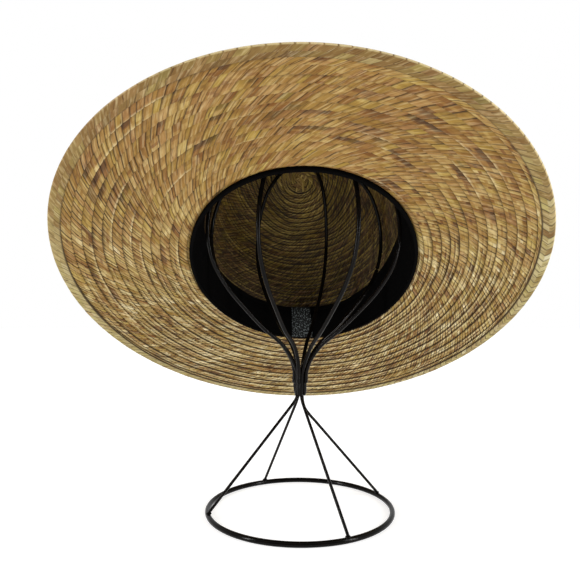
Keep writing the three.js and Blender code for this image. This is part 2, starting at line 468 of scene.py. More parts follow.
@dataclass(frozen=True)
class StrawFinish:
    """Dried palm strands: each its own tint, with streaks along its fibres, dark gaps between darkened further as
    painted shade, and painted highlights on the crests.

    Attributes:
        name: The material's name.
        tints: Straw colours from dark to pale, as screen colours.
        rosy: Tint of the warmest strands.
        olive: Tint of the greenest strands.
        gap: Colour deep between strands, a dark joint darkened further as painted shade.
        crease: Colour of the fine creases.
        pale: Colour of the raised fibres, and of the painted highlights on the crests.
        crease_gap: Distance between fine creases, in millimetres.
        crease_warp: How far they wander, in millimetres.
        crease_line: Distances from a fine crease at which it ends and is full, and how much of it shows.
        crease_broken: Noise at which a fine crease begins and is full.
        rosy_part: Warmth at which rosy begins and is full, and how much of it shows.
        olive_part: The same for olive.
        pale_part: Streak at which pale begins and is full, and how much of it shows.
        dark_part: The same for the creases' colour.
        crest_part: Painted highlight value at which pale begins and is full, and how much of it shows.
        gap_part: The same for the gap's colour, by the value of the dark joints and their painted shade.
        streak: Scale of the streaks along a strand and across it.
        warp: The same for the way that the fine creases wander.
        breaks: The same for the breaks in them.
        gloss: Roughness where the streaks are low and where they are high.
        relief: Height of the streaks in metres, and how much of it shows.
    """

    name: str
    tints: tuple[str, ...] = ("4e2f0b", "774c18", "906c2f", "a88b4f", "c1aa71", "e2d2a5")
    rosy: str = "a98252"
    olive: str = "a9903c"
    gap: str = "2c1a06"
    crease: str = "4a2f0c"
    pale: str = "e3d2a0"
    crease_gap: float = 1.7
    crease_warp: float = 2.6
    crease_line: Triple = (0.05, 0.2, 0.9)
    crease_broken: Pair = (0.47, 0.62)
    rosy_part: Triple = (0.55, 1.0, 0.4)
    olive_part: Triple = (0.45, 0.0, 0.5)
    pale_part: Triple = (0.5, 0.8, 0.4)
    dark_part: Triple = (0.5, 0.22, 0.45)
    crest_part: Triple = (0.15, 0.9, 0.8)
    gap_part: Triple = (0.1, 0.68, 0.95)
    streak: Pair = (0.07, 0.65)
    warp: Pair = (0.08, 0.3)
    breaks: Pair = (0.07, 0.35)
    gloss: Pair = (0.75, 0.55)
    relief: Pair = (0.0004, 0.5)

    def make(self) -> Material:
        """Wire the material."""
        s = NodeSketch(self.name)
        places = np.linspace(0.0, 1.0, len(self.tints))
        base = s.ramp(s.value("tint"), [(float(p), linear(c)) for p, c in zip(places, self.tints)])
        warmth = s.value("warmth")
        base = s.stain(base, warmth, self.rosy_part, self.rosy)
        base = s.stain(base, warmth, self.olive_part, self.olive)
        fibre = s.node("UVMap", uv_map="fibre").outputs["UV"]
        streak = s.noise(fibre, (*self.streak, 1.0), 3.0, 0.6)
        base = s.stain(base, streak, self.pale_part, self.pale)
        base = s.stain(base, streak, self.dark_part, self.crease)
        across = s.node("SeparateXYZ")
        s.link(fibre, across.inputs["Vector"])
        warped = s.node("Math", operation="MULTIPLY_ADD")
        s.link(s.noise(fibre, (*self.warp, 1.0), 1.0, 0.5), warped.inputs[0])
        warped.inputs[1].default_value = self.crease_warp
        s.link(across.outputs["Y"], warped.inputs[2])
        line = s.node("Math", operation="PINGPONG")
        line.inputs[1].default_value = self.crease_gap / 2
        s.link(warped.outputs[0], line.inputs[0])
        broken = s.noise(fibre, (*self.breaks, 1.0), 1.0, 0.5)
        fine = s.times(s.span(line.outputs[0], *self.crease_line, 0.0), s.span(broken, *self.crease_broken, 0.0, 1.0))
        base = s.blend(fine, base, linear(self.crease))
        # Painted highlights on the crests.
        base = s.stain(base, s.value("painted_highlight"), self.crest_part, self.pale)
        # Dark joints in the gaps, darkened further as painted shade.
        base = s.stain(base, s.value("joint_and_painted_shade"), self.gap_part, self.gap)
        s.colour(base)
        s.rough(s.span(streak, 0.3, 0.7, *self.gloss))
        s.set(Specular_IOR_Level=0.3)
        s.bump(streak, *self.relief)
        return s.material


@dataclass(frozen=True)
class ClothFinish:
    """Brushed black cloth with a fine twill and a little lint.

    Attributes:
        name: The material's name.
        colour: Its darkest colour.
        nap: Its colour where the twill stands up.
        lint: The lint's colour.
        twill: Scale of the twill along, across and through the cloth.
        fluff: The same for the lint.
        nap_part: Twill up to which colour shows, and from which nap does.
        lint_part: Fluff at which lint begins and is full, and how much of it shows.
        relief: Height of the twill in metres, and how much of it shows.
    """

    name: str = "black_band_cloth"
    colour: str = "040404"
    nap: str = "0b0a0a"
    lint: str = "171514"
    twill: Triple = (2.2, 0.5, 1.0)
    fluff: Triple = (1.1, 1.1, 1.0)
    nap_part: Pair = (0.35, 0.75)
    lint_part: Triple = (0.66, 0.74, 0.5)
    relief: Pair = (0.0003, 0.6)

    def make(self) -> Material:
        """Wire the material."""
        s = NodeSketch(self.name)
        fibre = s.node("UVMap", uv_map="fibre").outputs["UV"]
        twill = s.noise(fibre, self.twill, 2.0, 0.6)
        fluff = s.noise(fibre, self.fluff, 4.0, 0.7)
        base = s.ramp(twill, [(self.nap_part[0], linear(self.colour)), (self.nap_part[1], linear(self.nap))])
        s.colour(s.stain(base, fluff, self.lint_part, self.lint))
        s.set(Roughness=0.95, Specular_IOR_Level=0.02)
        s.bump(twill, *self.relief)
        return s.material


@dataclass(frozen=True)
class LabelFinish:
    """A dark woven label with a plain pale speckle that says nothing.

    Attributes:
        name: The material's name.
        colour: Its darkest colour.
        weft: Its colour where the weave stands up.
        fleck: The speckle's colour.
        speckle: Scale of the speckle along, across and through the label.
        weave: The same for the weave.
        weft_part: Weave up to which colour shows, and from which weft does.
        fleck_part: Speckle at which a fleck begins and is full, and how much of it shows.
        relief: Height of the weave in metres, and how much of it shows.
    """

    name: str = "speckled_label"
    colour: str = "060707"
    weft: str = "131515"
    fleck: str = "6f7676"
    speckle: Triple = (0.75, 0.6, 1.0)
    weave: Triple = (3.0, 3.0, 1.0)
    weft_part: Pair = (0.3, 0.7)
    fleck_part: Triple = (0.55, 0.6, 0.8)
    relief: Pair = (0.0002, 0.5)

    def make(self) -> Material:
        """Wire the material."""
        s = NodeSketch(self.name)
        fibre = s.node("UVMap", uv_map="fibre").outputs["UV"]
        speckle = s.noise(fibre, self.speckle, 1.0, 0.5)
        weave = s.noise(fibre, self.weave, 1.0, 0.5)
        base = s.ramp(weave, [(self.weft_part[0], linear(self.colour)), (self.weft_part[1], linear(self.weft))])
        s.colour(s.stain(base, speckle, self.fleck_part, self.fleck))
        s.set(Roughness=0.8, Specular_IOR_Level=0.25)
        s.bump(weave, *self.relief)
        return s.material


@dataclass(frozen=True)
class WireFinish:
    """Dark brown paint on wire, satin, with slight unevenness.

    Attributes:
        name: The material's name.
        colour: The paint's colour.
        worn: Its colour where it is worn.
        patch: Scale of the worn patches.
        grain: Scale of the paint's grain.
        worn_part: Patches up to which colour shows, and from which worn does.
        gloss: Roughness between patches and on them.
        relief: Height of the grain in metres, and how much of it shows.
    """

    name: str = "painted_wire"
    colour: str = "060504"
    worn: str = "0f0b09"
    patch: float = 90.0
    grain: float = 900.0
    worn_part: Pair = (0.4, 0.72)
    gloss: Pair = (0.14, 0.2)
    relief: Pair = (0.00008, 0.5)

    def make(self) -> Material:
        """Wire the material."""
        s = NodeSketch(self.name)
        place = s.node("TexCoord").outputs["Object"]
        patches = s.noise(place, (self.patch,) * 3, 3.0, 0.6)
        grain = s.noise(place, (self.grain,) * 3, 1.0, 0.5)
        s.colour(s.ramp(patches, [(self.worn_part[0], linear(self.colour)), (self.worn_part[1], linear(self.worn))]))
        s.rough(s.span(patches, 0.3, 0.7, *self.gloss))
        s.set(Specular_IOR_Level=0.09)
        s.bump(grain, *self.relief)
        return s.material


@dataclass(frozen=True)
class HatPose:
    """Where the hat stands in the frame.

    Attributes:
        origin: Middle of the opening.
        tilt: How far the front is tipped up, in degrees.
        lean: How far the right side is lower, in degrees.
        turn: Turn about the crown's axis, in degrees.
        press: How far the front of the opening is pressed in.
        press_reach: How far the press fades out along each axis.
        press_middle: Where it is strongest, as shares of these reaches.
    """

    origin: Triple = (-0.36, 10.33, 182.3)
    tilt: float = 31.8
    lean: float = 1.45
    turn: float = 5.0
    press: float = 2.0
    press_reach: Triple = (75.0, 45.0, 30.0)
    press_middle: Triple = (0.0, -2.3, 0.0)

    def place(self, points: np.ndarray) -> np.ndarray:
        """Carry points from the hat's own frame, in millimetres, to the shared frame, in metres.

        Args:
            points: Points with X, Y and Z last.

        Returns:
            The carried points.
        """
        near = np.exp(-((points / np.array(self.press_reach) - np.array(self.press_middle)) ** 2).sum(axis=-1))
        pressed = points + self.press * near[..., None] * np.array([0.0, 1.0, 0.0])
        about_x, about_y, about_z = (
            turn_about(axis, -math.radians(angle)) for axis, angle in enumerate((self.tilt, self.lean, self.turn))
        )
        return (pressed @ (about_x @ about_y @ about_z).T + np.array(self.origin)) * MM


@dataclass(frozen=True)
class Wall:
    """A wall made of ovals, read by the distance along it, away from the crown's tip.

    Attributes:
        rows: Height, half width, extra half length, turn and set-back of each oval.
        dent: Whether the crown's dent presses it down.
        dent_depth: How deep the dent is.
        dent_across: How far from the middle the dent's side begins and ends, across the hat.
        dent_along: The same along the hat.
        samples: How many ovals the smooth wall is read from.
        nudge: Half the step along the wall, in millimetres, that its slope is read from.
        bearing_nudge: Half the step round the wall, in degrees.
        least_distance: The nearest to the tip that the step round the wall is taken.
    """

    rows: np.ndarray
    dent: bool = False
    dent_depth: float = 15.9
    dent_across: Pair = (12.0, 46.0)
    dent_along: Pair = (40.0, 88.0)
    samples: int = 900
    nudge: float = 0.25
    bearing_nudge: float = 0.2
    least_distance: float = 0.3

    @staticmethod
    def distances(columns: list[np.ndarray]) -> np.ndarray:
        """Measure the way from oval to oval, by their heights, half widths and extra half lengths."""
        middle = columns[1] + columns[2] / 2
        return running(np.hypot(np.diff(middle), np.diff(columns[0])))

    @cached_property
    def table(self) -> np.ndarray:
        """Sample the smooth wall: distance first, then the columns of rows."""
        knots = self.distances(list(self.rows.T))
        at = np.linspace(0.0, knots[-1], self.samples)
        columns = [curve_through(knots, column, at) for column in self.rows.T]
        return np.stack([self.distances(columns), *columns])

    def length(self) -> float:
        """Measure the wall from its first oval to its last."""
        return float(self.table[0, -1])

    def points(self, distance: np.ndarray, bearing: np.ndarray) -> np.ndarray:
        """Find places on the wall, in the hat's own frame.

        Args:
            distance: Distance along the wall.
            bearing: Degrees from the front, towards the right.

        Returns:
            Points with X, Y and Z last.
        """
        height, half_width, extra, turn, back = (
            np.interp(distance, self.table[0], column) for column in self.table[1:]
        )
        own = np.radians(bearing - turn)
        turn = np.radians(turn)
        x, y = half_width * np.sin(own), -(half_width + extra) * np.cos(own)
        x, y = x * np.cos(turn) - y * np.sin(turn), x * np.sin(turn) + y * np.cos(turn) + back
        if self.dent:
            across = 1 - smoothstep(np.abs(x), *self.dent_across)
            along = 1 - smoothstep(np.abs(y), *self.dent_along)
            height = height - self.dent_depth * across * along
        return np.stack([x, y, height], axis=-1)

    def skin(self, distance: np.ndarray, bearing: np.ndarray, lift: np.ndarray) -> np.ndarray:
        """Find places lifted square off the wall, outwards where the lift is positive.

        Args:
            distance: Distance along the wall.
            bearing: Degrees from the front, towards the right.
            lift: Distance off the wall.

        Returns:
            Points with X, Y and Z last.
        """
        end = self.length()
        low, high = np.clip(distance - self.nudge, 0.02, end), np.clip(distance + self.nudge, 0.04, end)
        down = self.points(high, bearing) - self.points(low, bearing)
        clear = np.maximum(distance, self.least_distance)
        around = self.points(clear, bearing + self.bearing_nudge) - self.points(clear, bearing - self.bearing_nudge)
        return self.points(distance, bearing) + unit(np.cross(down, around)) * lift[..., None]


class Drift(Enum):
    """What drifts slowly along the rows: what it adds to their seed, and its usual wave in millimetres."""

    STRAND_WIDTH = (2, 90.0)
    ROWS_APART = (3, 30.0)
    BRIGHT_CREST = (4, 90.0)
    SWAY = (5, 45.0)
    TINT = (6, 120.0)
    BROWN = (7, 34.0)
    SLANT = (8, 120.0)
    CLOUD = (9, 60.0)
    HUE = (10, 40.0)
    SHORT_TINT = (12, 30.0)
    GAP_SHADE = (13, 220.0)
    CLUMP = (14, 9.0)
    HALVED = (15, 50.0)


@dataclass(frozen=True)
class RowLine:
    """One line of points along a plaited row.

    Attributes:
        share: Place across the row, from its raised edge.
        lift: Height above the wall.
        shade: How dark the gap is there.
        gape: What is added to the shade where the rows stand apart.
        crest: How much it carries a painted highlight as a bright crest.
        split: How much it lies in the crease that halves the row at the sides and the back. Below 0, it lies
            on the crest beside that crease.
    """

    share: float
    lift: float
    shade: float = 0.0
    gape: float = 0.0
    crest: float = 0.0
    split: float = 0.0


@dataclass(frozen=True)
class PlaitRelief:
    """How the straw's surface stands off its wall, in millimetres where nothing else is said.

    Attributes:
        seam_depth: Depth of the gap between two strands.
        puff: How far a strand swells in its middle.
        uneven: How far one strand lies higher or lower than the rest, at most.
        tuck: How far a strand's one side is tucked in and its other side stands out.
        sway: How far the whole surface sways.
        crease: Depth of the crease that halves a row.
        crease_crest: Height of the crest beside it.
        halved: Where from the front (0) to the back (1) the crease begins, and where it is full.
        behind_lift: How much more the rows stand out at the back, as a share, where the front is faint.
        pressed: Share of the relief that is left where the rows are pressed flat.
        ease: Distance over which the relief comes back.
    """

    seam_depth: float = 0.45
    puff: float = 0.1
    uneven: float = 0.18
    tuck: float = 0.12
    sway: float = 0.22
    crease: float = 0.5
    crease_crest: float = 0.1
    halved: Pair = (0.25, 0.7)
    behind_lift: float = 0.3
    pressed: float = 0.12
    ease: float = 3.0


@dataclass(frozen=True)
class PlaitShade:
    """How dark the gaps of the straw are, dark joints with painted shade, and how bright the painted highlights on its
    crests, where 1 is the most.

    Attributes:
        border: Least shade between two strands, and what chance adds at most.
        border_sides: Share of it at the front, and what the back adds.
        crossing: What a border adds where it meets a gap between rows that is darker than crossing_from.
        crossing_from: That gap's shade.
        apart: Drift at which rows begin to stand apart, and at which they do so most.
        gape_behind: Share of a line's gape that the back always has.
        gap_drift: How much the gaps' shade drifts.
        strand_share: Least and most of a strand's own share of creases and crests.
        halved: Where from the front (0) to the back (1) the rows begin to be halved, and where they are.
        halved_drift: Drift at which rows begin to be halved, and at which they are.
        crease: Shade of the crease that halves a row.
        crease_crest: Brightness of the crest beside it.
        bright: Drift at which crests begin to be bright, and at which they are brightest.
        bright_behind: What the back adds to that drift.
        crest_sides: Share of a crest's brightness at the front, and what the back adds.
    """

    border: Pair = (0.3, 0.75)
    border_sides: Pair = (0.7, 0.6)
    crossing: float = 0.35
    crossing_from: float = 0.2
    apart: Pair = (0.0, 1.4)
    gape_behind: float = 0.3
    gap_drift: float = 0.3
    strand_share: Pair = (0.5, 1.2)
    halved: Pair = (0.25, 0.6)
    halved_drift: Pair = (-1.2, 0.4)
    crease: float = 0.8
    crease_crest: float = 0.6
    bright: Pair = (0.3, 1.2)
    bright_behind: float = 1.6
    crest_sides: Pair = (0.6, 0.4)


@dataclass(frozen=True)
class PlaitTint:
    """How the strands' tints vary, from 0 for the darkest straw to 1 for the palest.

    Attributes:
        usual: The usual tint.
        strand: How much strands differ from it.
        dark: How much darker a dark strand is.
        dark_share: Share of the strands that are dark.
        long_run: How much the tint drifts along a row in long waves.
        short_run: The same in short waves.
        brown: How much darker the brown stretches are.
        brown_drift: Drift at which a stretch begins to be brown, and at which it is brownest.
        brown_lines: Where across a row the brown begins, and where it is full.
        clump: How much neighbouring strands differ from others.
        zone: How much the three zones of a strand differ.
        pale_zone: How much paler a pale zone is.
        dark_zone: How much darker a dark zone is.
        odd_zones: Chance below which a zone is pale, and above which it is dark.
        cloud: How much the tint drifts over the whole face.
        painted_shade_from: Share of the wall's length at which the painted shade towards the last row begins.
        front_ends: Where from the front (0) to the back (1) the front's painted shade ends.
        front_even: How much the front's tints are evened out, and how that turns about towards the back.
        hue: The usual hue, and how much strands differ from it.
        hue_run: How much the hue drifts along a row.
    """

    usual: float = 0.57
    strand: float = 0.08
    dark: float = 0.25
    dark_share: float = 0.03
    long_run: float = 0.09
    short_run: float = 0.05
    brown: float = 0.5
    brown_drift: Pair = (0.7, 1.3)
    brown_lines: Pair = (0.25, 0.7)
    clump: float = 0.08
    zone: float = 0.06
    pale_zone: float = 0.22
    dark_zone: float = 0.28
    odd_zones: Pair = (0.06, 0.925)
    cloud: float = 0.05
    painted_shade_from: float = 0.25
    front_ends: float = 0.55
    front_even: Pair = (2.0, 5.0)
    hue: Pair = (0.5, 0.22)
    hue_run: float = 0.12


@dataclass
class PlaitLayout:
    """Where the points of one face's rows lie.

    Attributes:
        strand: Number of each column's strand.
        part: Place of each column across its strand.
        breadth: Width of each column's strand, along the row.
        step: Place of each column along the strip.
        share: Place of each line across its row.
        bearing: Bearing of each point.
        distance: Distance of each point along the wall.
        fullness: Share of a whole row's width that each point's row has.
    """

    strand: np.ndarray
    part: np.ndarray
    breadth: np.ndarray
    step: np.ndarray
    share: np.ndarray
    bearing: np.ndarray
    distance: np.ndarray
    fullness: np.ndarray

    def count(self) -> int:
        """Count the strands."""
        return int(self.strand[-1]) + 1

    def behind(self) -> np.ndarray:
        """Give 0 for each point at the front and 1 at the back."""
        return 0.5 - 0.5 * np.cos(np.radians(self.bearing))


@dataclass(frozen=True)
class PlaitRows:
    """A strip of slanting strands that winds outwards, each turn lapped by the next.

    Attributes:
        row_width: Width of one turn, once the rows have widened.
        first_width: Width of the first turn.
        widening: Distance over which they widen.
        strand_width: Usual width of one strand, along the row.
        width_drift: How much that width drifts, as a share.
        width_spread: How much strands differ in width, as a share.
        joint_spread: How far a strand begins from the strand it carries on, as a share of its width.
        lean: How far a strand slants in a row's width.
        lean_drift: How much that slant drifts, as a share.
        lines: The lines of points across a row.
        within: Place of each column of points within a strand.
        straw: Thickness of the wall.
        seed: Seed of the random draws.
        front_wide: How much wider the strands are at the front than at the back.
        front_soft: How much fainter the gaps between rows, with their painted shade, are at the front than at the back.
        front_painted_shade_and_evenness: How much darker, as painted shade, and more even the straw is at the front
            than at the back.
        painted_shade_to_last_row: How much darker the straw is by the last row than by the first, as painted shade.
        edge_reach: How far the rows can reach out over an edge's strip, or 0 where there is none.
        uneven: How strongly the strands' tints differ.
        form: The relief.
        shade: The gaps and crests.
        tint: The tints.
        turn_steps: How many steps of a turn the strip is measured in.
        width_steps: How many steps the rows' widths are added up in.
        least_step: The least length of a step.
        least_fullness: Share of a whole row's width below which a row isn't made.
    """

    row_width: float = 6.3
    first_width: float = 6.3
    widening: float = 60.0
    strand_width: float = 3.7
    width_drift: float = 0.15
    width_spread: float = 0.33
    joint_spread: float = 0.06
    lean: float = 1.25
    lean_drift: float = 0.15
    lines: tuple[RowLine, ...] = (
        RowLine(-0.07, -0.6, shade=0.9),
        RowLine(0.0, 0.45, shade=0.55, gape=0.1, crest=0.1),
        RowLine(0.06, 0.9, gape=0.2, crest=1.0),
        RowLine(0.34, 0.62),
        RowLine(0.48, 0.42, split=1.0),
        RowLine(0.57, 0.3, split=-1.0),
        RowLine(0.88, -0.22, shade=0.12, gape=0.5),
        RowLine(1.04, -0.6, shade=0.95),
    )
    within: tuple[float, ...] = (0.0, 0.17, 0.5, 0.83)
    straw: float = 2.2
    seed: int = 11
    front_wide: float = 0.5
    front_soft: float = 0.0
    front_painted_shade_and_evenness: float = 0.0
    painted_shade_to_last_row: float = 0.0
    edge_reach: float = 0.0
    uneven: float = 1.0
    form: PlaitRelief = PlaitRelief()
    shade: PlaitShade = PlaitShade()
    tint: PlaitTint = PlaitTint()
    turn_steps: int = 240
    width_steps: int = 1500
    least_step: float = 1e-4
    least_fullness: float = 0.04

    def line_values(self, name: str) -> np.ndarray:
        """List one value of the lines of points across a row."""
        return np.array([getattr(line, name) for line in self.lines])


@dataclass
class PlaitFace:
    """The plaited rows on one face of a wall.

    Attributes:
        rows: What the rows are like.
        wall: The wall.
        side: The face that is covered.
        first: Distance where the rows begin. They end with the wall.
        still: How far from the first and the last row the relief is pressed flat.
    """

    rows: PlaitRows
    wall: Wall
    side: Side
    first: float
    still: Pair = (-1.0, -1.0)

    def __post_init__(self) -> None:
        """Measure the wall and seed the random draws."""
        self.last = self.wall.length()
        self.rng = np.random.default_rng(self.rows.seed + self.side.value)

    def drift(self, what: Drift) -> Ripple:
        """Draw one of the slow drifts."""
        offset, wavelength = what.value
        return Ripple(self.rows.seed + offset, wavelength)

    @cached_property
    def turns(self) -> tuple[np.ndarray, np.ndarray]:
        """List distances along the wall, and the number of turns up to each."""
        rows, distance = self.rows, np.linspace(self.first, self.last, self.rows.width_steps)
        grown = np.clip((distance - self.first) / rows.widening, 0.0, 1.0)
        width = rows.first_width + (rows.row_width - rows.first_width) * grown
        return distance, running(np.diff(distance) / width[1:])

    def row_edges(self, bearing: np.ndarray) -> tuple[np.ndarray, np.ndarray]:
        """Find the distances of a row's nearer and further edge, by the whole bearing from the strip's start."""
        distance, turns = self.turns
        return tuple(np.interp(bearing / FULL_TURN - lag, turns, distance) for lag in (1, 0))

    def strip(self) -> tuple[np.ndarray, np.ndarray]:
        """List the strip's bearings from its start, and its length up to each."""
        turns = self.turns[1][-1] + 1
        bearing = np.linspace(0.0, turns * FULL_TURN, int(turns * self.rows.turn_steps))
        inner, outer = self.row_edges(bearing)
        line = self.wall.points((inner + outer) / 2, bearing)
        steps = np.linalg.norm(np.diff(line, axis=0), axis=-1)
        return bearing, running(np.maximum(steps, self.rows.least_step))

    def strand_edges(self, bearings: np.ndarray, lengths: np.ndarray) -> np.ndarray:
        """Share the strip out among strands, so that each turn carries on the slant of the turn before.

        Args:
            bearings: The strip's bearing from its start.
            lengths: Its length up to each of these bearings.

        Returns:
            Where each strand begins, and the strip's end.
        """
        rows, rng, length, slow = self.rows, self.rng, lengths[-1], self.drift(Drift.STRAND_WIDTH)
        edges, guide = [0.0], 0
        while edges[-1] < length:
            about = float(np.interp(edges[-1], lengths, bearings))
            usual = rows.strand_width * (1 + rows.width_drift * float(slow.along(np.array(edges[-1]))))
            usual *= 1 + rows.front_wide * (0.5 + 0.5 * math.cos(math.radians(about))) ** 2
            turned = float(np.interp(edges[guide], lengths, bearings)) + FULL_TURN
            place = float(np.interp(turned, bearings, lengths)) + rows.lean * rows.row_width
            gap = place - edges[-1]
            if gap > 1.5 * usual:
                width = usual * math.exp(rng.normal(0.0, rows.width_spread))
                edges.append(edges[-1] + min(width, gap - 0.5 * usual))
            else:
                guide += 1
                if gap > 0.5 * usual:
                    edges.append(place + rng.normal(0.0, rows.joint_spread * usual))
        kept = np.array(edges)
        return np.concatenate([kept[kept < length - rows.strand_width], [length]])

    @cached_property
    def lay(self) -> PlaitLayout:
        """Place the rows' points on the wall."""
        rows = self.rows
        bearings, lengths = self.strip()
        edges = self.strand_edges(bearings, lengths)
        count, parts = len(edges) - 1, len(rows.within)
        breadth = np.repeat(np.diff(edges), parts)
        part = np.tile(np.array(rows.within), count)
        step = np.repeat(edges[:-1], parts) + breadth * part
        share = rows.line_values("share")
        slant = -self.side.value * rows.lean * (1 + rows.lean_drift * self.drift(Drift.SLANT).along(step))
        along = step[:, None] + slant[:, None] * rows.row_width * (share - 0.5)
        bearing = np.interp(np.clip(along, 0.0, lengths[-1]), lengths, bearings)
        start, stop = self.row_edges(bearing)
        end = self.last - np.maximum(rows.edge_reach - edge_start(bearing), 0.0)
        start, stop = np.minimum(start, end), np.minimum(stop, end)
        place = share if self.side is Side.INNER else 1 - share
        distance = np.clip(start + (stop - start) * place, self.first, end)
        fullness = np.clip((stop - start) / rows.first_width, 0.0, 1.0)
        strand = np.repeat(np.arange(count), parts)
        return PlaitLayout(strand, part, breadth, step, share, bearing, distance, fullness)

    @cached_property
    def places(self) -> np.ndarray:
        """Find the points on the bare wall."""
        return self.wall.skin(self.lay.distance, self.lay.bearing, np.zeros_like(self.lay.distance))

    def relief(self) -> np.ndarray:
        """Give the height of the straw's surface above the wall, at each point."""
        lay, rng, form, split = self.lay, self.rng, self.rows.form, self.rows.line_values("split")
        behind = lay.behind()
        profile = self.rows.line_values("lift") * (1 + form.behind_lift * self.rows.front_soft * behind)
        halved = smoothstep(behind, *form.halved)
        profile = profile - np.where(split > 0, form.crease, form.crease_crest) * split * halved
        high = rng.uniform(-form.uneven, form.uneven, lay.count())[lay.strand]
        tuck = (form.tuck + rng.normal(0.0, form.tuck, lay.count())[lay.strand]) * (lay.part - 0.5) * 2
        body = form.puff * np.sin(math.pi * lay.part) - form.seam_depth * (lay.part == 0.0)
        middle = np.sin(math.pi * np.clip(lay.share, 0.0, 1.0))
        sway = form.sway * self.drift(Drift.SWAY).at(self.places)
        height = (profile + high[:, None] * middle + (tuck + body)[:, None] + sway) * lay.fullness
        free = smoothstep(lay.distance - self.first, self.still[0], self.still[0] + form.ease)
        free = free * smoothstep(self.last - lay.distance, self.still[1], self.still[1] + form.ease)
        return height * (form.pressed + (1 - form.pressed) * free)

    def marks(self) -> dict[str, np.ndarray]:
        """Give the gaps' dark joints with painted shade, and the painted highlights on the crests, at each point."""
        lay, look, behind = self.lay, self.rows.shade, self.lay.behind()
        shade, gape, crest, split = (self.rows.line_values(n) for n in ("shade", "gape", "crest", "split"))
        # Dark joints between strands, and painted shade in the gaps between rows, stronger at the back.
        border = (look.border[0] + look.border[1] * self.rng.random(lay.count()))[lay.strand] * (lay.part == 0.0)
        border = border[:, None]
        apart = smoothstep(self.drift(Drift.ROWS_APART).along(lay.step), *look.apart)[:, None]
        deep = 1 + look.gap_drift * self.drift(Drift.GAP_SHADE).along(lay.step)[:, None]
        faint = 1 - self.rows.front_soft * (1 - behind)
        row = (shade + gape * apart + look.gape_behind * behind * gape) * deep * faint
        own = self.rng.uniform(*look.strand_share, (2, lay.count()))[:, lay.strand][..., None]
        halved = smoothstep(behind, *look.halved) * own[0]
        halved = halved * smoothstep(self.drift(Drift.HALVED).along(lay.step), *look.halved_drift)[:, None]
        row = np.maximum(row, look.crease * np.maximum(split, 0.0) * halved)
        joint_and_painted_shade = np.maximum(border * (look.border_sides[0] + look.border_sides[1] * behind), row)
        joint_and_painted_shade = joint_and_painted_shade + look.crossing * border * (row > look.crossing_from)
        # Painted highlights along the crests, brightest at the back.
        bright = self.drift(Drift.BRIGHT_CREST).along(lay.step)[:, None] + look.bright_behind * behind**4
        bright = smoothstep(bright, *look.bright)
        painted_highlight = crest * bright * own[1] * (look.crest_sides[0] + look.crest_sides[1] * behind)
        return {"joint_and_painted_shade": joint_and_painted_shade, "painted_highlight": painted_highlight + look.crease_crest * np.maximum(-split, 0.0) * halved}

    def tints(self) -> dict[str, np.ndarray]:
        """Choose each face's tint, with browner stretches along the rows, painted shade towards the last row and at the
        front, and its warmth.
        """
        rows, rng, lay, look = self.rows, self.rng, self.lay, self.rows.tint
        count, behind = lay.count(), lay.behind()
        own = rng.normal(look.usual, look.strand, count)
        own[rng.random(count) < look.dark_share] -= look.dark
        run = look.long_run * self.drift(Drift.TINT).along(lay.step)
        run = run + look.short_run * self.drift(Drift.SHORT_TINT).along(lay.step)
        brown = look.brown * smoothstep(self.drift(Drift.BROWN).along(lay.step), *look.brown_drift)
        brown = brown[:, None] * smoothstep(lay.share, *look.brown_lines)
        odd = rng.random((count, 3))
        zones = rng.normal(0.0, look.zone, (count, 3))
        zones = zones + look.pale_zone * (odd < look.odd_zones[0]) - look.dark_zone * (odd > look.odd_zones[1])
        zone_of_line = np.linspace(0, 2.99, len(rows.lines)).astype(int)
        clump = look.clump * self.drift(Drift.CLUMP).along(lay.step)
        zone = clump[:, None] + zones[lay.strand][:, zone_of_line]
        cloud = look.cloud * self.drift(Drift.CLOUD).at(self.places)
        spread = (own - look.usual)[lay.strand][:, None] + run[:, None] + zone + cloud
        furthest = lay.distance.max()
        # Painted shade towards the last row.
        dim = rows.painted_shade_to_last_row * smoothstep(lay.distance, look.painted_shade_from * furthest, furthest)
        # Painted shade at the front; the same number also evens out the front's tints.
        dim = dim + rows.front_painted_shade_and_evenness * (1 - smoothstep(behind, 0.0, look.front_ends))
        mixed = rows.uneven * (1 + rows.front_painted_shade_and_evenness * (look.front_even[1] * behind - look.front_even[0]))
        tint = np.clip(look.usual + mixed * spread - brown - dim, 0.0, 1.0)
        hue = rng.normal(*look.hue, count)[lay.strand] + look.hue_run * self.drift(Drift.HUE).along(lay.step)
        warmth = np.clip(hue, 0.0, 1.0)[:, None] * np.ones(len(rows.lines))
        return {"tint": tint[:-1, :-1], "warmth": warmth[:-1, :-1]}

    def fibres(self) -> np.ndarray:
        """Measure along and across each strand for the streaks, at each face's four corners."""
        lay, slope = self.lay, math.hypot(1, self.rows.lean)
        run, last = lay.share * self.rows.row_width * slope, len(lay.share) - 1
        far = np.roll(lay.part, -1)
        near, far = (place * lay.breadth / slope for place in (lay.part, np.where(far == 0.0, 1.0, far)))
        shift = self.rng.uniform(0.0, FIBRE_SHIFT, lay.count())[lay.strand][:-1, None]
        return face_corners(
            (len(lay.step) - 1, last),
            lambda column, row: (run[row : row + last] + shift, (far if column else near)[:-1, None] + shift),
        )

    def sheet(self, pose: HatPose) -> Sheet:
        """Lay the rows' grid over the wall, with the hat in its pose."""
        lay, base = self.lay, self.rows.straw if self.side is Side.OUTER else 0.0
        points = self.wall.skin(lay.distance, lay.bearing, base + self.side.value * self.relief())
        keep = lay.fullness[:-1, :-1] > self.rows.least_fullness
        marks, tints = self.marks(), self.tints()
        return Sheet(pose.place(points), point_values=marks, face_values=tints, fibre=self.fibres(), keep=keep)


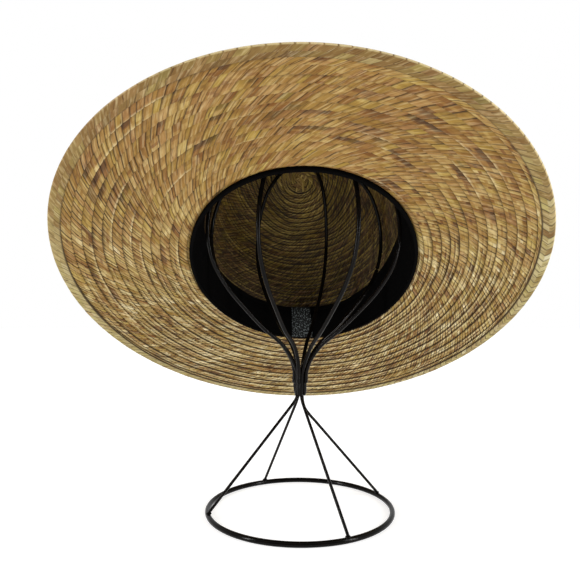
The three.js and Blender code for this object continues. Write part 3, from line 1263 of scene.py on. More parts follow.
@dataclass
class StrawCrown:
    """The crown, plaited inside and out.

    Attributes:
        pose: Where the hat stands.
        plait: The rows outside.
        lining: The rows inside.
        rows: Height, half width, half length, turn and set-back of the inner face, from the tip to the opening.
        tip_radius: Radius of the round that closes the tip.
        band_reach: How far the band presses the rows flat, from the opening.
        knot_seed: Seed of the random draws for the knot inside the tip.
        knot_strands: How many strands cross in it.
        knot_spread: How far from the tip their middles lie.
        knot_half: Least and most of a strand's half length.
        knot_width: Least and most of its half width.
        knot_lift: How high the lowest strand lies, and how much higher the highest.
        knot_bow: How high a strand arches, and how far its ends and its borders turn down.
        knot_tint: Least and most of a strand's tint.
        knot_warmth: Least and most of its warmth.
        knot_gap: Shade of its borders.
        knot_grain: Distance between the streaks of one strand and the next.
        cap_reach: How far the small cap reaches, against the tip's radius.
        cap_lift: How high its middle lies, and how much it falls for each millimetre out.
    """

    pose: HatPose
    plait: PlaitRows
    lining: PlaitRows
    rows: tuple[tuple[float, ...], ...] = (
        (111.2, 0.0, 0.0, 3.3, 0.0),
        (110.8, 13.5, 18.0, 3.3, 0.0),
        (109.3, 27.0, 36.0, 3.3, 0.0),
        (106.0, 39.5, 52.5, 3.3, 0.2),
        (100.0, 51.5, 68.0, 3.3, 0.4),
        (91.0, 61.2, 80.3, 3.3, 0.6),
        (79.0, 67.8, 89.5, 3.3, 0.8),
        (64.0, 72.4, 96.2, 3.3, 1.0),
        (48.0, 76.6, 99.8, 3.3, 1.2),
        (31.0, 78.3, 102.0, 3.3, 1.2),
        (18.0, 81.1, 103.2, 1.8, 0.6),
        (4.5, 84.2, 103.9, 0.0, 0.0),
    )
    tip_radius: float = 2.0
    band_reach: float = 28.0
    knot_seed: int = 91
    knot_strands: int = 18
    knot_spread: float = 3.0
    knot_half: Pair = (3.5, 6.5)
    knot_width: Pair = (0.7, 1.1)
    knot_lift: Pair = (0.95, 0.5)
    knot_bow: Triple = (0.35, 0.5, 0.3)
    knot_tint: Pair = (0.3, 1.2)
    knot_warmth: Pair = (0.6, 1.0)
    knot_gap: float = 0.9
    knot_grain: float = 40.0
    cap_reach: float = 2.2
    cap_lift: Pair = (0.3, 0.1)

    def wall(self) -> Wall:
        """Turn the table into a wall."""
        rows = np.array(self.rows)
        rows[:, 2] -= rows[:, 1]
        return Wall(rows, dent=True)

    def build(self, straw: Material, shaded_straw: Material) -> None:
        """Build the inner and the outer face.

        Args:
            straw: The outer face's finish.
            shaded_straw: The inner face's finish, a darker copy of the straw as painted shade.
        """
        wall = self.wall()
        inside = MeshMaker("crown_inside_plait")
        still = (UNPRESSED, self.band_reach)
        inside.add(PlaitFace(self.lining, wall, Side.INNER, self.tip_radius, still).sheet(self.pose))
        inside.add(self.cap(wall, Side.INNER))
        for strip in self.knot(wall):
            inside.add(strip)
        inside.make(shaded_straw, "straw", "crown")
        outside = MeshMaker("crown_outside_plait")
        outside.add(PlaitFace(self.plait, wall, Side.OUTER, self.tip_radius).sheet(self.pose))
        outside.add(self.cap(wall, Side.OUTER), flip=True)
        outside.make(straw, "straw", "crown")

    def knot(self, wall: Wall) -> list[Sheet]:
        """Cross the strip's first strands over one another at the tip, inside.

        Args:
            wall: The crown's wall.

        Returns:
            One small sheet for each strand.
        """
        rng, strips = np.random.default_rng(self.knot_seed), []
        along, across = np.meshgrid(np.linspace(-1, 1, 9), np.array([-1.0, -0.8, 0.0, 0.8, 1.0]), indexing="ij")
        border = np.abs(across) == 1.0
        for i in range(self.knot_strands):
            angle, half, width = rng.uniform(0, math.pi), rng.uniform(*self.knot_half), rng.uniform(*self.knot_width)
            middle = rng.normal(0.0, self.knot_spread, 2)
            ahead, aside = (math.cos(angle), math.sin(angle)), (math.sin(angle), -math.cos(angle))
            x, y = (middle[n] + ahead[n] * along * half + aside[n] * across * width for n in (0, 1))
            arch, ends, borders = self.knot_bow
            bow = arch * (1 - along**2) - ends * along**4 - borders * border
            lift = -(self.knot_lift[0] + rng.uniform(0.0, self.knot_lift[1]) + bow)
            points = wall.skin(np.maximum(np.hypot(x, y), 0.1), np.degrees(np.arctan2(x, -y)), lift)
            values = {"tint": rng.uniform(*self.knot_tint), "warmth": rng.uniform(*self.knot_warmth)}
            fibre = np.stack([along * half, across * width], axis=-1) + self.knot_grain * i
            strips.append(
                Sheet(
                    self.pose.place(points),
                    point_values={"joint_and_painted_shade": self.knot_gap * border},
                    face_values={name: np.full((8, 4), value) for name, value in values.items()},
                    fibre=face_corners((8, 4), lambda j, k: np.moveaxis(fibre[j : j + 8, k : k + 4], -1, 0)),
                )
            )
        return strips

    def cap(self, wall: Wall, side: Side) -> Sheet:
        """Close the middle of the first round.

        Args:
            wall: The crown's wall.
            side: The face that is closed.

        Returns:
            A small round sheet.
        """
        distance, bearing = np.meshgrid(
            np.linspace(0.05, self.tip_radius * self.cap_reach, 4), np.arange(0.0, FULL_TURN, 15.0), indexing="xy"
        )
        base = self.plait.straw if side is Side.OUTER else 0.0
        lift = base + side.value * (self.cap_lift[0] - self.cap_lift[1] * distance)
        points = self.pose.place(wall.skin(distance, bearing, lift))
        return Sheet(points, closed_columns=True)


@dataclass
class StrawBrim:
    """The brim, plaited below and above.

    Attributes:
        pose: Where the hat stands.
        plait: The rows that cover both faces.
        rows: Distance out and height of the lower face.
        half_width: Half width of the opening.
        extra: What its half length has more.
        width: Width of the whole brim with its edge.
        edge_turn: How far the edge's oval is turned.
        edge_back: How far it is set back.
        edge_extra: What its half length has more than the opening's extra.
        fold: Width of the smooth fold round the opening.
    """

    pose: HatPose
    plait: PlaitRows
    rows: tuple[Pair, ...] = (
        (0.0, 4.2),
        (0.6, 2.1),
        (2.1, 0.6),
        (4.4, 0.0),
        (20.0, -2.2),
        (40.0, -6.2),
        (60.0, -11.3),
        (79.0, -16.7),
        (83.0, -17.75),
    )
    half_width: float = 84.2
    extra: float = 19.7
    width: float = 88.4
    edge_turn: float = -5.6
    edge_back: float = -1.1
    edge_extra: float = 1.7
    fold: float = 4.0

    def oval_row(self, out: float, height: float) -> tuple[float, ...]:
        """Give one oval of the brim as a wall's row."""
        share = out / self.width
        extra = self.extra + self.edge_extra * share
        return (height, self.half_width + out, extra, self.edge_turn * share, self.edge_back * share)

    def build(self, straw: Material) -> None:
        """Build the lower and the upper face.

        Args:
            straw: The straw's finish.
        """
        wall = Wall(np.array([self.oval_row(*row) for row in self.rows]))
        under = MeshMaker("brim_under_plait")
        still = (self.fold, UNPRESSED)
        under.add(PlaitFace(self.plait, wall, Side.INNER, 0.0, still).sheet(self.pose))
        under.make(straw, "straw", "brim")
        top = MeshMaker("brim_top_plait")
        top.add(PlaitFace(self.plait, wall, Side.OUTER, 0.0).sheet(self.pose))
        top.make(straw, "straw", "brim")


@dataclass
class EdgeBraid:
    """The braid round the brim's edge, with strands that meet in a zigzag.

    Attributes:
        brim: The brim that it carries on from.
        inner: Distance out and height of its inner edge.
        drop: Height of its outer edge.
        strand: Width of a strand along the edge.
        lean: How far a strand slants for each millimetre across.
        seed: Seed of the random draws.
        within: Place of each column of points within a strand.
        lower: The lower half of the closed section: share of the width, and lift off the wall's middle.
        clear: How far from the end of the brim's rows the strip begins.
        zigzag: Share of the width at which the strands meet, how much nearer in that is at the right, and
            how fast it comes in towards the right.
        puff: How far a strand sinks or swells.
        gap: Depth between two strands, how much less it is at the front, and how far a strand swells beside it.
        tucked: How much flatter the strip's inner edge is at the front, and the share that counts as edge.
        thinned: How much thinner the strip's rim is at the front, and the shares where that begins and ends.
        tint: The usual tint, how much strands differ from it, and how much darker the front is, as painted shade.
        warmth: The usual warmth, how much strands differ from it, and what the front adds.
        border: Least and most shade between two strands.
        border_right: Share of it at the left, and what the right adds.
        border_front: How much fainter it is at the front, and the shares where it begins and ends to fade.
        notch: Shares of the width, and the shade of a gap at the rim there, at the right.
        inner_shade: Shares of the width, and the painted shade along the inner edge there.
        inner_front: How much fainter that shade is at the front.
        lit_turn: Degrees that bring the place where the rim is brightest round to the back.
        lit: Shares of the width, and the brightness of the rim there.
        grain: Scale of the streaks along a strand and across it.
        turn_steps: How many steps the edge is measured in.
    """

    brim: StrawBrim
    inner: Pair = (79.0, -16.7)
    drop: float = -19.2
    strand: float = 6.4
    lean: float = 1.25
    seed: int = 31
    within: tuple[float, ...] = (0.0, 0.1, 0.3, 0.5, 0.7, 0.9)
    lower: tuple[Pair, ...] = (
        (-0.1, -0.9),
        (-0.07, -1.6),
        (0.0, -1.95),
        (0.1, -1.85),
        (0.3, -1.6),
        (0.5, -1.5),
        (0.7, -1.5),
        (0.88, -1.4),
        (0.96, -1.1),
        (1.0, -0.4),
    )
    clear: float = 0.3
    zigzag: Triple = (0.97, 0.45, 1.3)
    puff: Pair = (-0.1, 0.12)
    gap: Triple = (-0.2, 0.15, 0.05)
    tucked: Pair = (0.45, 0.15)
    thinned: Triple = (0.55, 0.6, 0.9)
    tint: Triple = (0.6, 0.06, 0.36)
    warmth: Triple = (0.4, 0.18, 0.1)
    border: Pair = (0.6, 1.0)
    border_right: Pair = (0.85, 0.4)
    border_front: Triple = (0.4, 0.6, 0.85)
    notch: tuple[Triple, Triple] = ((0.75, 0.93, 1.0), (0.0, 0.45, 1.0))
    inner_shade: tuple[Triple, Triple] = ((-0.08, 0.0, 0.04), (1.0, 0.6, 0.0))
    inner_front: float = 0.7
    lit_turn: float = 145.0
    lit: tuple[Pair, Pair] = ((0.93, 0.98), (0.0, 0.7))
    grain: Pair = (1.4, 0.5)
    turn_steps: int = 3600

    def __post_init__(self) -> None:
        """Share the edge out among strands."""
        brim, within = self.brim, np.array(self.within)
        self.rng = np.random.default_rng(self.seed)
        self.wall = Wall(np.array([brim.oval_row(*self.inner), brim.oval_row(brim.width, self.drop)]))
        self.turn = np.linspace(0.0, FULL_TURN, self.turn_steps)
        self.lengths = lengths_along(self.wall.points(np.full_like(self.turn, self.wall.length() / 2), self.turn))
        self.count = int(round(self.lengths[-1] / self.strand))
        columns = (np.arange(self.count)[:, None] + within) * self.lengths[-1] / self.count
        self.columns, self.part = columns.reshape(-1), np.tile(within, self.count)
        upper = tuple((share, -lift) for share, lift in reversed(self.lower))
        self.share, self.lift = np.array(self.lower + upper).T
        self.about = np.interp(self.columns, self.lengths, self.turn)
        self.right = np.clip(np.sin(np.radians(self.about)), 0.0, 1.0)
        self.front = towards_back(self.about + FULL_TURN / 2)

    def spread(self, values: np.ndarray) -> np.ndarray:
        """Carry a number for each half and strand to all its points."""
        strand = np.repeat(np.arange(self.count), len(self.within))
        return values[(self.share >= 0.5).astype(int)][:, strand].T

    def points(self) -> np.ndarray:
        """Find the strip's points in the hat's own frame."""
        front, share = self.front[:, None], self.share
        begin = self.clear + edge_start(self.about)
        width = self.wall.length() - begin
        meet, nearer, fast = self.zigzag
        vertex = meet - nearer * np.minimum(fast * self.right, 1.0) * (1 - self.front)
        bend = -np.abs(share - vertex[:, None]) * self.lean * width[:, None]
        bearing = np.interp((self.columns[:, None] + bend) % self.lengths[-1], self.lengths, self.turn)
        puff = self.spread(self.rng.uniform(*self.puff, (2, self.count)))
        deep, front_deep, beside = self.gap
        swell = puff + np.where(self.part == 0.0, deep + front_deep * self.front, beside)[:, None]
        swell = swell - self.tucked[0] * front * (np.abs(share) < self.tucked[1])
        thin = 1 - self.thinned[0] * front * np.interp(share, self.thinned[1:], [0.0, 1.0])
        lift = (self.lift + np.sign(self.lift) * swell) * thin
        return self.wall.skin(begin[:, None] + width[:, None] * share, bearing, self.brim.plait.straw / 2 + lift)

    def tints(self) -> dict[str, np.ndarray]:
        """Choose each face's tint and warmth."""
        right, front = (values[:: len(self.within)] for values in (self.right, self.front))
        usual, differ, darker = self.tint
        # The front is darker as painted shade.
        tint = usual + self.rng.normal(0.0, differ, (2, self.count)) * (1 + right) - darker * front
        usual, differ, warmer = self.warmth
        warmth = np.clip(self.rng.normal(usual, differ, (2, self.count)) + warmer * front, 0.0, 1.0)
        return {"tint": self.spread(tint), "warmth": self.spread(warmth)}

    def marks(self) -> dict[str, np.ndarray]:
        """Give the gaps' dark joints with painted shade, and the painted highlight on the rim, at each point."""
        front, share, gap = self.front[:, None], self.share, self.part == 0.0
        border = self.spread(self.rng.uniform(*self.border, (2, self.count)))
        border = border * (self.border_right[0] + self.border_right[1] * self.right[:, None])
        joint_and_painted_shade = np.where(gap, 1.0, 0.0)[:, None] * border * (1 - self.border_front[0] * front)
        joint_and_painted_shade = joint_and_painted_shade * (1 - front * np.interp(share, self.border_front[1:], [0.0, 1.0]))
        rim = np.interp(share, *self.notch) * (gap * self.right)[:, None]
        # Painted shade along the strip's inner edge.
        inner = np.interp(share, *self.inner_shade) * (1 - self.inner_front * front)
        # Painted highlight on the rim, brightest towards the front right.
        lit = towards_back(self.about + self.lit_turn) * ~gap
        painted_highlight = np.interp(share, *self.lit) * lit[:, None]
        return {"joint_and_painted_shade": np.clip(np.maximum(joint_and_painted_shade + rim, inner), 0.0, 1.0), "painted_highlight": painted_highlight}

    def fibres(self) -> np.ndarray:
        """Measure along and across each strand for the streaks, at each face's four corners."""
        run = np.abs(self.share - 0.5) * self.wall.length() * self.grain[0]
        ends = np.where(np.roll(self.part, -1) == 0.0, 1.0, np.roll(self.part, -1))
        near, far = (self.grain[1] * (part * self.strand)[:, None] for part in (self.part, ends))
        shift = self.spread(self.rng.uniform(0.0, FIBRE_SHIFT, (2, self.count)))
        return face_corners(
            (len(self.columns), len(self.share)),
            lambda column, row: (np.roll(run, -row)[None, :] + shift, (far if column else near) + shift),
        )

    def build(self, straw: Material) -> None:
        """Build the braid as one closed ring, with its finish."""
        points, tints, marks = self.brim.pose.place(self.points()), self.tints(), self.marks()
        maker = MeshMaker("edge_braid_plait")
        maker.add(Sheet(points, True, True, point_values=marks, face_values=tints, fibre=self.fibres()))
        maker.make(straw, "edge_straw", "edge_braid")


@dataclass
class Sweatband:
    """The black band inside the opening, with its thicker hem.

    Attributes:
        crown: The crown that it is fitted to.
        top: Its height above the opening.
        thickness: Its thickness.
        gap: Its distance off the crown's wall.
        hem_out: How far the hem reaches out under the wall.
        sag: How much further into the crown the top lies where the band sags most.
        sag_bearing: Where it sags most.
        sag_width: How far round from there it sags.
        loose: Heights between which the band comes loose from its even shape.
        wave: Seed, size and depth of the drift in its height.
        hollow: Seed, size and depth of the hollows in its face.
        columns: How many places round it have points.
        round_length: Length round it, for the cloth's grain.
    """

    crown: StrawCrown
    top: float = 30.5
    thickness: float = 1.5
    gap: float = 0.3
    hem_out: float = 0.9
    sag: float = 6.0
    sag_bearing: float = 108.0
    sag_width: float = 26.0
    loose: Pair = (8.0, 30.0)
    wave: tuple[int, float, float] = (41, 40.0, 0.35)
    hollow: tuple[int, float, float] = (43, 24.0, 0.12)
    columns: int = 420
    round_length: float = 600.0

    def at(self, wall: Wall, height: np.ndarray, bearing: np.ndarray, off: np.ndarray) -> np.ndarray:
        """Find places off the wall's inner face, at a height.

        Args:
            wall: The crown's wall.
            height: Height above the opening.
            bearing: Degrees from the front, towards the right.
            off: Distance in from the face.

        Returns:
            Points in the hat's own frame.
        """
        low = np.maximum(height, self.crown.rows[-1][0])
        distance = np.interp(-low, -wall.table[1], wall.table[0])
        place = replace(wall, dent=False).points(distance, bearing)
        spread = np.hypot(place[..., 0], place[..., 1])
        scale = (spread - off) / spread
        return np.stack([place[..., 0] * scale, place[..., 1] * scale, height * np.ones_like(spread)], axis=-1)

    def outline(self) -> np.ndarray:
        """List the closed section's heights and distances off the wall, up its back and down its face."""
        near, far, hem = self.gap, self.gap + self.thickness, -self.hem_out
        line = [(0.75, hem), (3.6, near), (12.0, near), (21.0, near), (29.8, near), (self.top, near + 0.5)]
        line += [(self.top, far - 0.4), (29.9, far), (27.2, far), (26.6, far - 0.35), (26.0, far)]
        line += [(18.0, far), (10.0, far), (4.0, far), (1.4, far - 0.1), (0.6, far - 0.6), (-0.2, far)]
        line += [(-1.3, far - 0.1), (-1.7, far - 0.7), (-1.7, -0.3), (-1.2, hem), (0.0, hem)]
        return np.array(line)

    def build(self, cloth: Material) -> None:
        """Build the band as one closed ring.

        Args:
            cloth: The band's finish.
        """
        wall, line, step = self.crown.wall(), self.outline(), self.round_length / self.columns
        bearing = (np.arange(self.columns) * FULL_TURN / self.columns)[:, None]
        height, off = line[:, 0] + 0 * bearing, line[:, 1] + 0 * bearing
        rough = self.at(wall, height, bearing, off)
        seed, size, depth = self.wave
        height = height + depth * Ripple(seed, size).at(rough) * smoothstep(height, *self.loose)
        slump = np.exp(-(((bearing - self.sag_bearing) / self.sag_width) ** 2))
        height = height + self.sag * slump * smoothstep(height, *self.loose)
        face = line[:, 1] > self.gap + self.thickness / 5
        seed, size, depth = self.hollow
        points = self.at(wall, height, bearing, off - depth * (1 + Ripple(seed, size).at(rough)) * face)
        along = np.arange(self.columns)[:, None] * self.round_length / self.columns
        climb = running(np.hypot(*np.diff(line, axis=0).T))
        climbs = np.append(np.diff(climb), 1.0)
        corner = face_corners(off.shape, lambda column, row: (along + column * step, climb + row * climbs))
        maker = MeshMaker("sweatband_cloth")
        maker.add(Sheet(self.crown.pose.place(points), closed_columns=True, closed_rows=True, fibre=corner))
        maker.make(cloth, "band_cloth", "sweatband")


@dataclass
class BandLabel:
    """The small label at the back of the band, bare of lettering.

    Attributes:
        band: The band that it is sewn to.
        width: Its width round the band.
        low: Height of its lower end above the opening.
        high: Height of its upper end.
        thickness: Its thickness.
        off: Distance of its middle off the crown's wall.
        bearing: Where its middle is.
        bend: Radius that it is bent to.
        rolled: Distances from an end between which it grows to its thickness.
        rows: How many heights have points.
        section: Its closed section, as shares of half the width and of half the thickness.
    """

    band: Sweatband
    width: float = 19.0
    low: float = -1.5
    high: float = 30.3
    thickness: float = 0.5
    off: float = 2.25
    bearing: float = 187.0
    bend: float = 84.0
    rolled: Pair = (-0.4, 0.8)
    rows: int = 26
    section: tuple[Pair, ...] = (
        (-1.0, 0.0),
        (-0.97, 1.0),
        (-0.6, 1.15),
        (0.0, 1.2),
        (0.6, 1.15),
        (0.97, 1.0),
        (1.0, 0.0),
        (0.97, -1.0),
        (0.0, -1.0),
        (-0.97, -1.0),
    )

    def build(self, cloth: Material) -> None:
        """Build the label as a thin bent strip with rolled edges.

        Args:
            cloth: The label's finish.
        """
        across, lift = np.array(self.section).T
        heights = np.linspace(self.low, self.high, self.rows)[:, None]
        bearing = self.bearing - across * np.degrees(self.width / 2 / self.bend) + 0 * heights
        off = self.off + lift * (self.thickness / 2) + 0 * heights
        end = np.minimum(heights - self.low, self.high - heights)
        off = self.off + (off - self.off) * smoothstep(end, *self.rolled)
        points = self.band.at(self.band.crown.wall(), heights * np.ones_like(off), bearing, off)
        run, last = (across + 1) * self.width / 2, self.rows - 1
        shape = (last, len(across))
        corner = face_corners(shape, lambda column, row: (np.roll(run, -row), heights[column : column + last]))
        maker = MeshMaker("band_label_cloth")
        maker.add(Sheet(self.band.crown.pose.place(points), closed_rows=True, fibre=corner), flip=True)
        maker.make(cloth, "label_cloth", "band_label")


@dataclass(frozen=True)
class Wire:
    """A round wire.

    Attributes:
        diameter: Its thickness.
        sides: How many sides its skin has.
        tip: How far a rounded end stands out, as a share of the diameter.
        rounded: Radius of a rounded end, as a share of the diameter.
        point: Radius at the very end.
        aside: A direction that no wire follows, which sets where its skin's sides start.
    """

    diameter: float
    sides: int = 12
    tip: float = 0.12
    rounded: float = 0.36
    point: float = 0.001
    aside: Triple = (0.31, 0.17, 0.93)

    def skin(self, points: np.ndarray, spacing: float = 2.0, closed: bool = False) -> Sheet:
        """Lay the wire's skin along a smooth line, with rounded ends.

        Args:
            points: Points that the line passes through, in millimetres, in the shared frame.
            spacing: Distance between rings of points.
            closed: Whether the wire is a ring.

        Returns:
            The skin as a grid.
        """
        knots = lengths_along(points)
        at = np.linspace(0.0, knots[-1], max(int(knots[-1] / spacing), 2) + 1)
        line = np.stack([curve_through(knots, points[:, i], at) for i in range(3)], axis=-1)
        if closed:
            line = line[:-1]
            ahead = np.roll(line, -1, axis=0) - np.roll(line, 1, axis=0)
            radius = np.full(len(line), self.diameter / 2)
        else:
            first, last = unit(line[0] - line[1]), unit(line[-1] - line[-2])
            tip, rounded = self.diameter * self.tip, self.diameter * self.rounded
            radius = np.full(len(line), self.diameter / 2)
            radius = np.concatenate([[self.point, rounded], radius, [rounded, self.point]])
            line = np.vstack([[line[0] + first * tip] * 2, line, [line[-1] + last * tip] * 2])
            ahead = np.gradient(line, axis=0)
            ahead[0], ahead[-1] = -first, last
        ahead = unit(ahead)
        side = unit(np.cross(ahead, np.array(self.aside)))
        over = np.cross(side, ahead)
        angle = (np.arange(self.sides) * 2 * math.pi / self.sides)[:, None]
        ring = side[:, None] * np.cos(angle) + over[:, None] * np.sin(angle)
        return Sheet((line[:, None] + ring * radius[:, None, None]) * MM, closed_columns=closed, closed_rows=True)


@dataclass(frozen=True)
class WeldBead:
    """An uneven bead of weld.

    Attributes:
        radii: Its radius along each axis.
        shift: How far its middle lies off the place that it joins.
        seed: Seed of its unevenness.
        uneven: How much its radius varies.
        bumps: Size of its bumps, against a radius of one.
        pole: Angle of its first and last ring of points from its axis.
    """

    radii: Triple
    shift: Triple
    seed: int
    uneven: float = 0.1
    bumps: float = 1.6
    pole: float = 0.02

    def skin(self, place: np.ndarray, number: int = 0) -> Sheet:
        """Lay the bead's skin.

        Args:
            place: The place that it joins, in millimetres, in the shared frame.
            number: Which of several beads it is.

        Returns:
            The skin as a grid.
        """
        polar = np.linspace(self.pole, math.pi - self.pole, 9)[:, None]
        turn = (np.arange(16) * math.pi / 8)[None]
        ball = np.stack([np.sin(polar) * np.cos(turn), np.sin(polar) * np.sin(turn), np.cos(polar) + 0 * turn], axis=-1)
        uneven = 1 + self.uneven * Ripple(self.seed + number, self.bumps).at(ball)
        points = place + np.array(self.shift) + ball * np.array(self.radii) * uneven[..., None]
        return Sheet(points * MM, closed_rows=True)


@dataclass
class WireStand:
    """The floor ring, four legs and the cage of eight bowed wires.

    Attributes:
        middle: Middle of the floor ring.
        ring_radius: Radius of the ring's centre line.
        ring_wire: The ring's thickness.
        leg_wire: The legs' thickness.
        wire: The cage wires' thickness.
        neck_height: Height of the neck, where the legs end under the long wires.
        neck_radius: Distance of the long wires from the neck's middle.
        neck_turn: Bearing of the first wire in the neck.
        spread_radius: Distance from the middle at which a wire has its own bearing and bow.
        lean_side: Degrees that the cage leans over to the side.
        lean_front: Degrees that it leans to the front or back.
        leg_bend: Length over which a leg turns out.
        cage_top: Height at which the wires end.
        legs: The long wire above each leg, the bearing of its foot and how far down it bends out.
        cage: Each cage wire's bearing, bow, where it ends at the top and whether it is long.
        long_start: Heights and distances from the middle at the start of a long wire.
        short_start: The same for a short wire.
        bow: The same for the part that all wires share.
        foot_weld: The bead under a leg.
        top_weld: The bead where the wires cross at the top.
        neck_weld: The bead between a short wire and the neck.
        neck_weld_in: How far in that bead lies, as a share of the way to the neck's middle.
    """

    middle: Pair = (-4.06, 17.03)
    ring_radius: float = 69.1
    ring_wire: float = 3.9
    leg_wire: float = 2.2
    wire: float = 3.0
    neck_height: float = 86.0
    neck_radius: float = 2.4
    neck_turn: float = -15.7
    spread_radius: float = 30.0
    lean_side: float = 1.94
    lean_front: float = 0.98
    leg_bend: float = 7.0
    cage_top: float = 271.8
    legs: tuple[tuple[int, float, float], ...] = ((1, 25.7, 8.5), (3, 115.9, 2.5), (5, 197.8, 2.5), (7, -63.1, 2.5))
    cage: tuple[tuple[float, float, float, bool], ...] = (
        (-20.0, 0.922, 5.4, False),
        (34.4, 1.0, 2.1, True),
        (75.2, 1.0, 5.4, False),
        (122.0, 1.0, 0.26, True),
        (167.0, 0.975, 5.4, False),
        (204.7, 0.975, 2.1, True),
        (247.3, 1.0, 5.4, False),
        (295.4, 1.0, 0.26, True),
    )
    long_start: tuple[Pair, ...] = ((86.0, 2.4), (98.0, 2.4), (104.0, 2.9), (109.5, 5.3))
    short_start: tuple[Pair, ...] = ((96.0, 4.7), (104.0, 4.8), (109.5, 6.2))
    bow: tuple[Pair, ...] = (
        (122.5, 14.3),
        (136.5, 31.9),
        (150.0, 46.7),
        (168.0, 63.7),
        (186.0, 74.8),
        (204.5, 79.0),
        (223.0, 77.6),
        (238.0, 72.6),
        (252.5, 62.9),
        (262.0, 48.2),
        (268.2, 28.2),
        (271.4, 12.0),
    )
    foot_weld: WeldBead = WeldBead((2.0, 2.0, 1.1), (0.0, 0.0, -0.5), 60)
    top_weld: WeldBead = WeldBead((4.5, 4.5, 1.6), (2.0, -1.0, 0.4), 71)
    neck_weld: WeldBead = WeldBead((1.7, 1.7, 8.5), (0.0, 0.0, -2.5), 80)
    neck_weld_in: float = 0.25

    def polar(self, radius: float, bearing: float, height: float) -> np.ndarray:
        """Find a place about the ring's middle, with bearings from the right side."""
        angle = math.radians(bearing)
        x, y = radius * math.cos(angle), radius * math.sin(angle)
        return np.array([self.middle[0] + x, self.middle[1] + y, height])

    def leaned(self, points: np.ndarray) -> np.ndarray:
        """Lean the cage's points over at the neck.

        Args:
            points: Points of an upright cage.

        Returns:
            Points of the cage as it stands.
        """
        foot = np.array([*self.middle, self.neck_height])
        about_x, about_y = turn_about(0, math.radians(self.lean_front)), turn_about(1, math.radians(self.lean_side))
        return (points - foot) @ (about_x @ about_y).T + foot

    def neck_bearing(self, index: int) -> float:
        """Give a cage wire's bearing in the neck."""
        return self.neck_turn + FULL_TURN / len(self.cage) * index

    def cage_line(self, index: int) -> np.ndarray:
        """List the points that a cage wire follows.

        Args:
            index: The wire's place round the neck.

        Returns:
            Points in millimetres, in the shared frame.
        """
        bearing, bow, end, is_long = self.cage[index]
        start = self.long_start if is_long else self.short_start
        points = []
        for i, (height, radius) in enumerate(start + self.bow):
            spread = float(smoothstep(np.array(radius), self.neck_radius, self.spread_radius))
            turned = 1.0 if i > len(start) + 1 else spread
            own = self.neck_bearing(index) * (1 - turned) + bearing * turned
            points.append(self.polar(radius * (1 + (bow - 1) * spread), own, height))
        points.append(self.polar(end, bearing, self.cage_top))
        return self.leaned(np.array(points))

    def leg_line(self, wire: int, bearing: float, bend: float) -> np.ndarray:
        """List the points that a leg follows.

        Args:
            wire: The long cage wire above it.
            bearing: Bearing of its foot.
            bend: How far below the neck it turns out.

        Returns:
            Points in millimetres, in the shared frame.
        """
        top = self.polar(self.neck_radius, self.neck_bearing(wire), self.neck_height)
        elbow = top - np.array([0.0, 0.0, bend])
        foot = self.polar(self.ring_radius, bearing, self.ring_wire)
        foot[2] += self.leg_wire * 0.25
        out = elbow + unit(foot - elbow) * self.leg_bend
        share = np.linspace(0.0, 1.0, 6)[:, None]
        curve = top * (1 - share) ** 2 + elbow * 2 * share * (1 - share) + out * share**2
        straight = out + (foot - out) * np.linspace(0.1, 1.0, 10)[:, None]
        return np.vstack([curve, straight])

    def build(self, paint: Material) -> None:
        """Build the ring, the legs and the cage with their welds.

        Args:
            paint: The wires' finish.
        """
        ring = MeshMaker("floor_ring_wire")
        circle = [self.polar(self.ring_radius, b, self.ring_wire / 2) for b in np.linspace(0.0, FULL_TURN, 145)]
        ring.add(Wire(self.ring_wire).skin(np.array(circle), 3.0, closed=True))
        ring.make(paint, "wire_paint", "floor_ring")
        for i, row in enumerate(self.legs):
            line, leg = self.leg_line(*row), MeshMaker(f"leg_{i + 1}_wire")
            leg.add(Wire(self.leg_wire).skin(line))
            leg.add(self.foot_weld.skin(line[-1], i))
            leg.make(paint, "wire_paint", f"leg_{i + 1}")
        neck = self.leaned(self.polar(0.0, 0.0, self.short_start[0][0])[None])[0]
        for i, (*_, is_long) in enumerate(self.cage):
            line, wire = self.cage_line(i), MeshMaker(f"cage_wire_{i + 1}_wire")
            wire.add(Wire(self.wire).skin(line))
            if i == 0:
                wire.add(self.top_weld.skin(line[-1]))
            if not is_long:
                inner = line[0] * (1 - self.neck_weld_in) + neck * self.neck_weld_in
                wire.add(self.neck_weld.skin(inner, i))
            wire.make(paint, "wire_paint", f"cage_wire_{i + 1}")


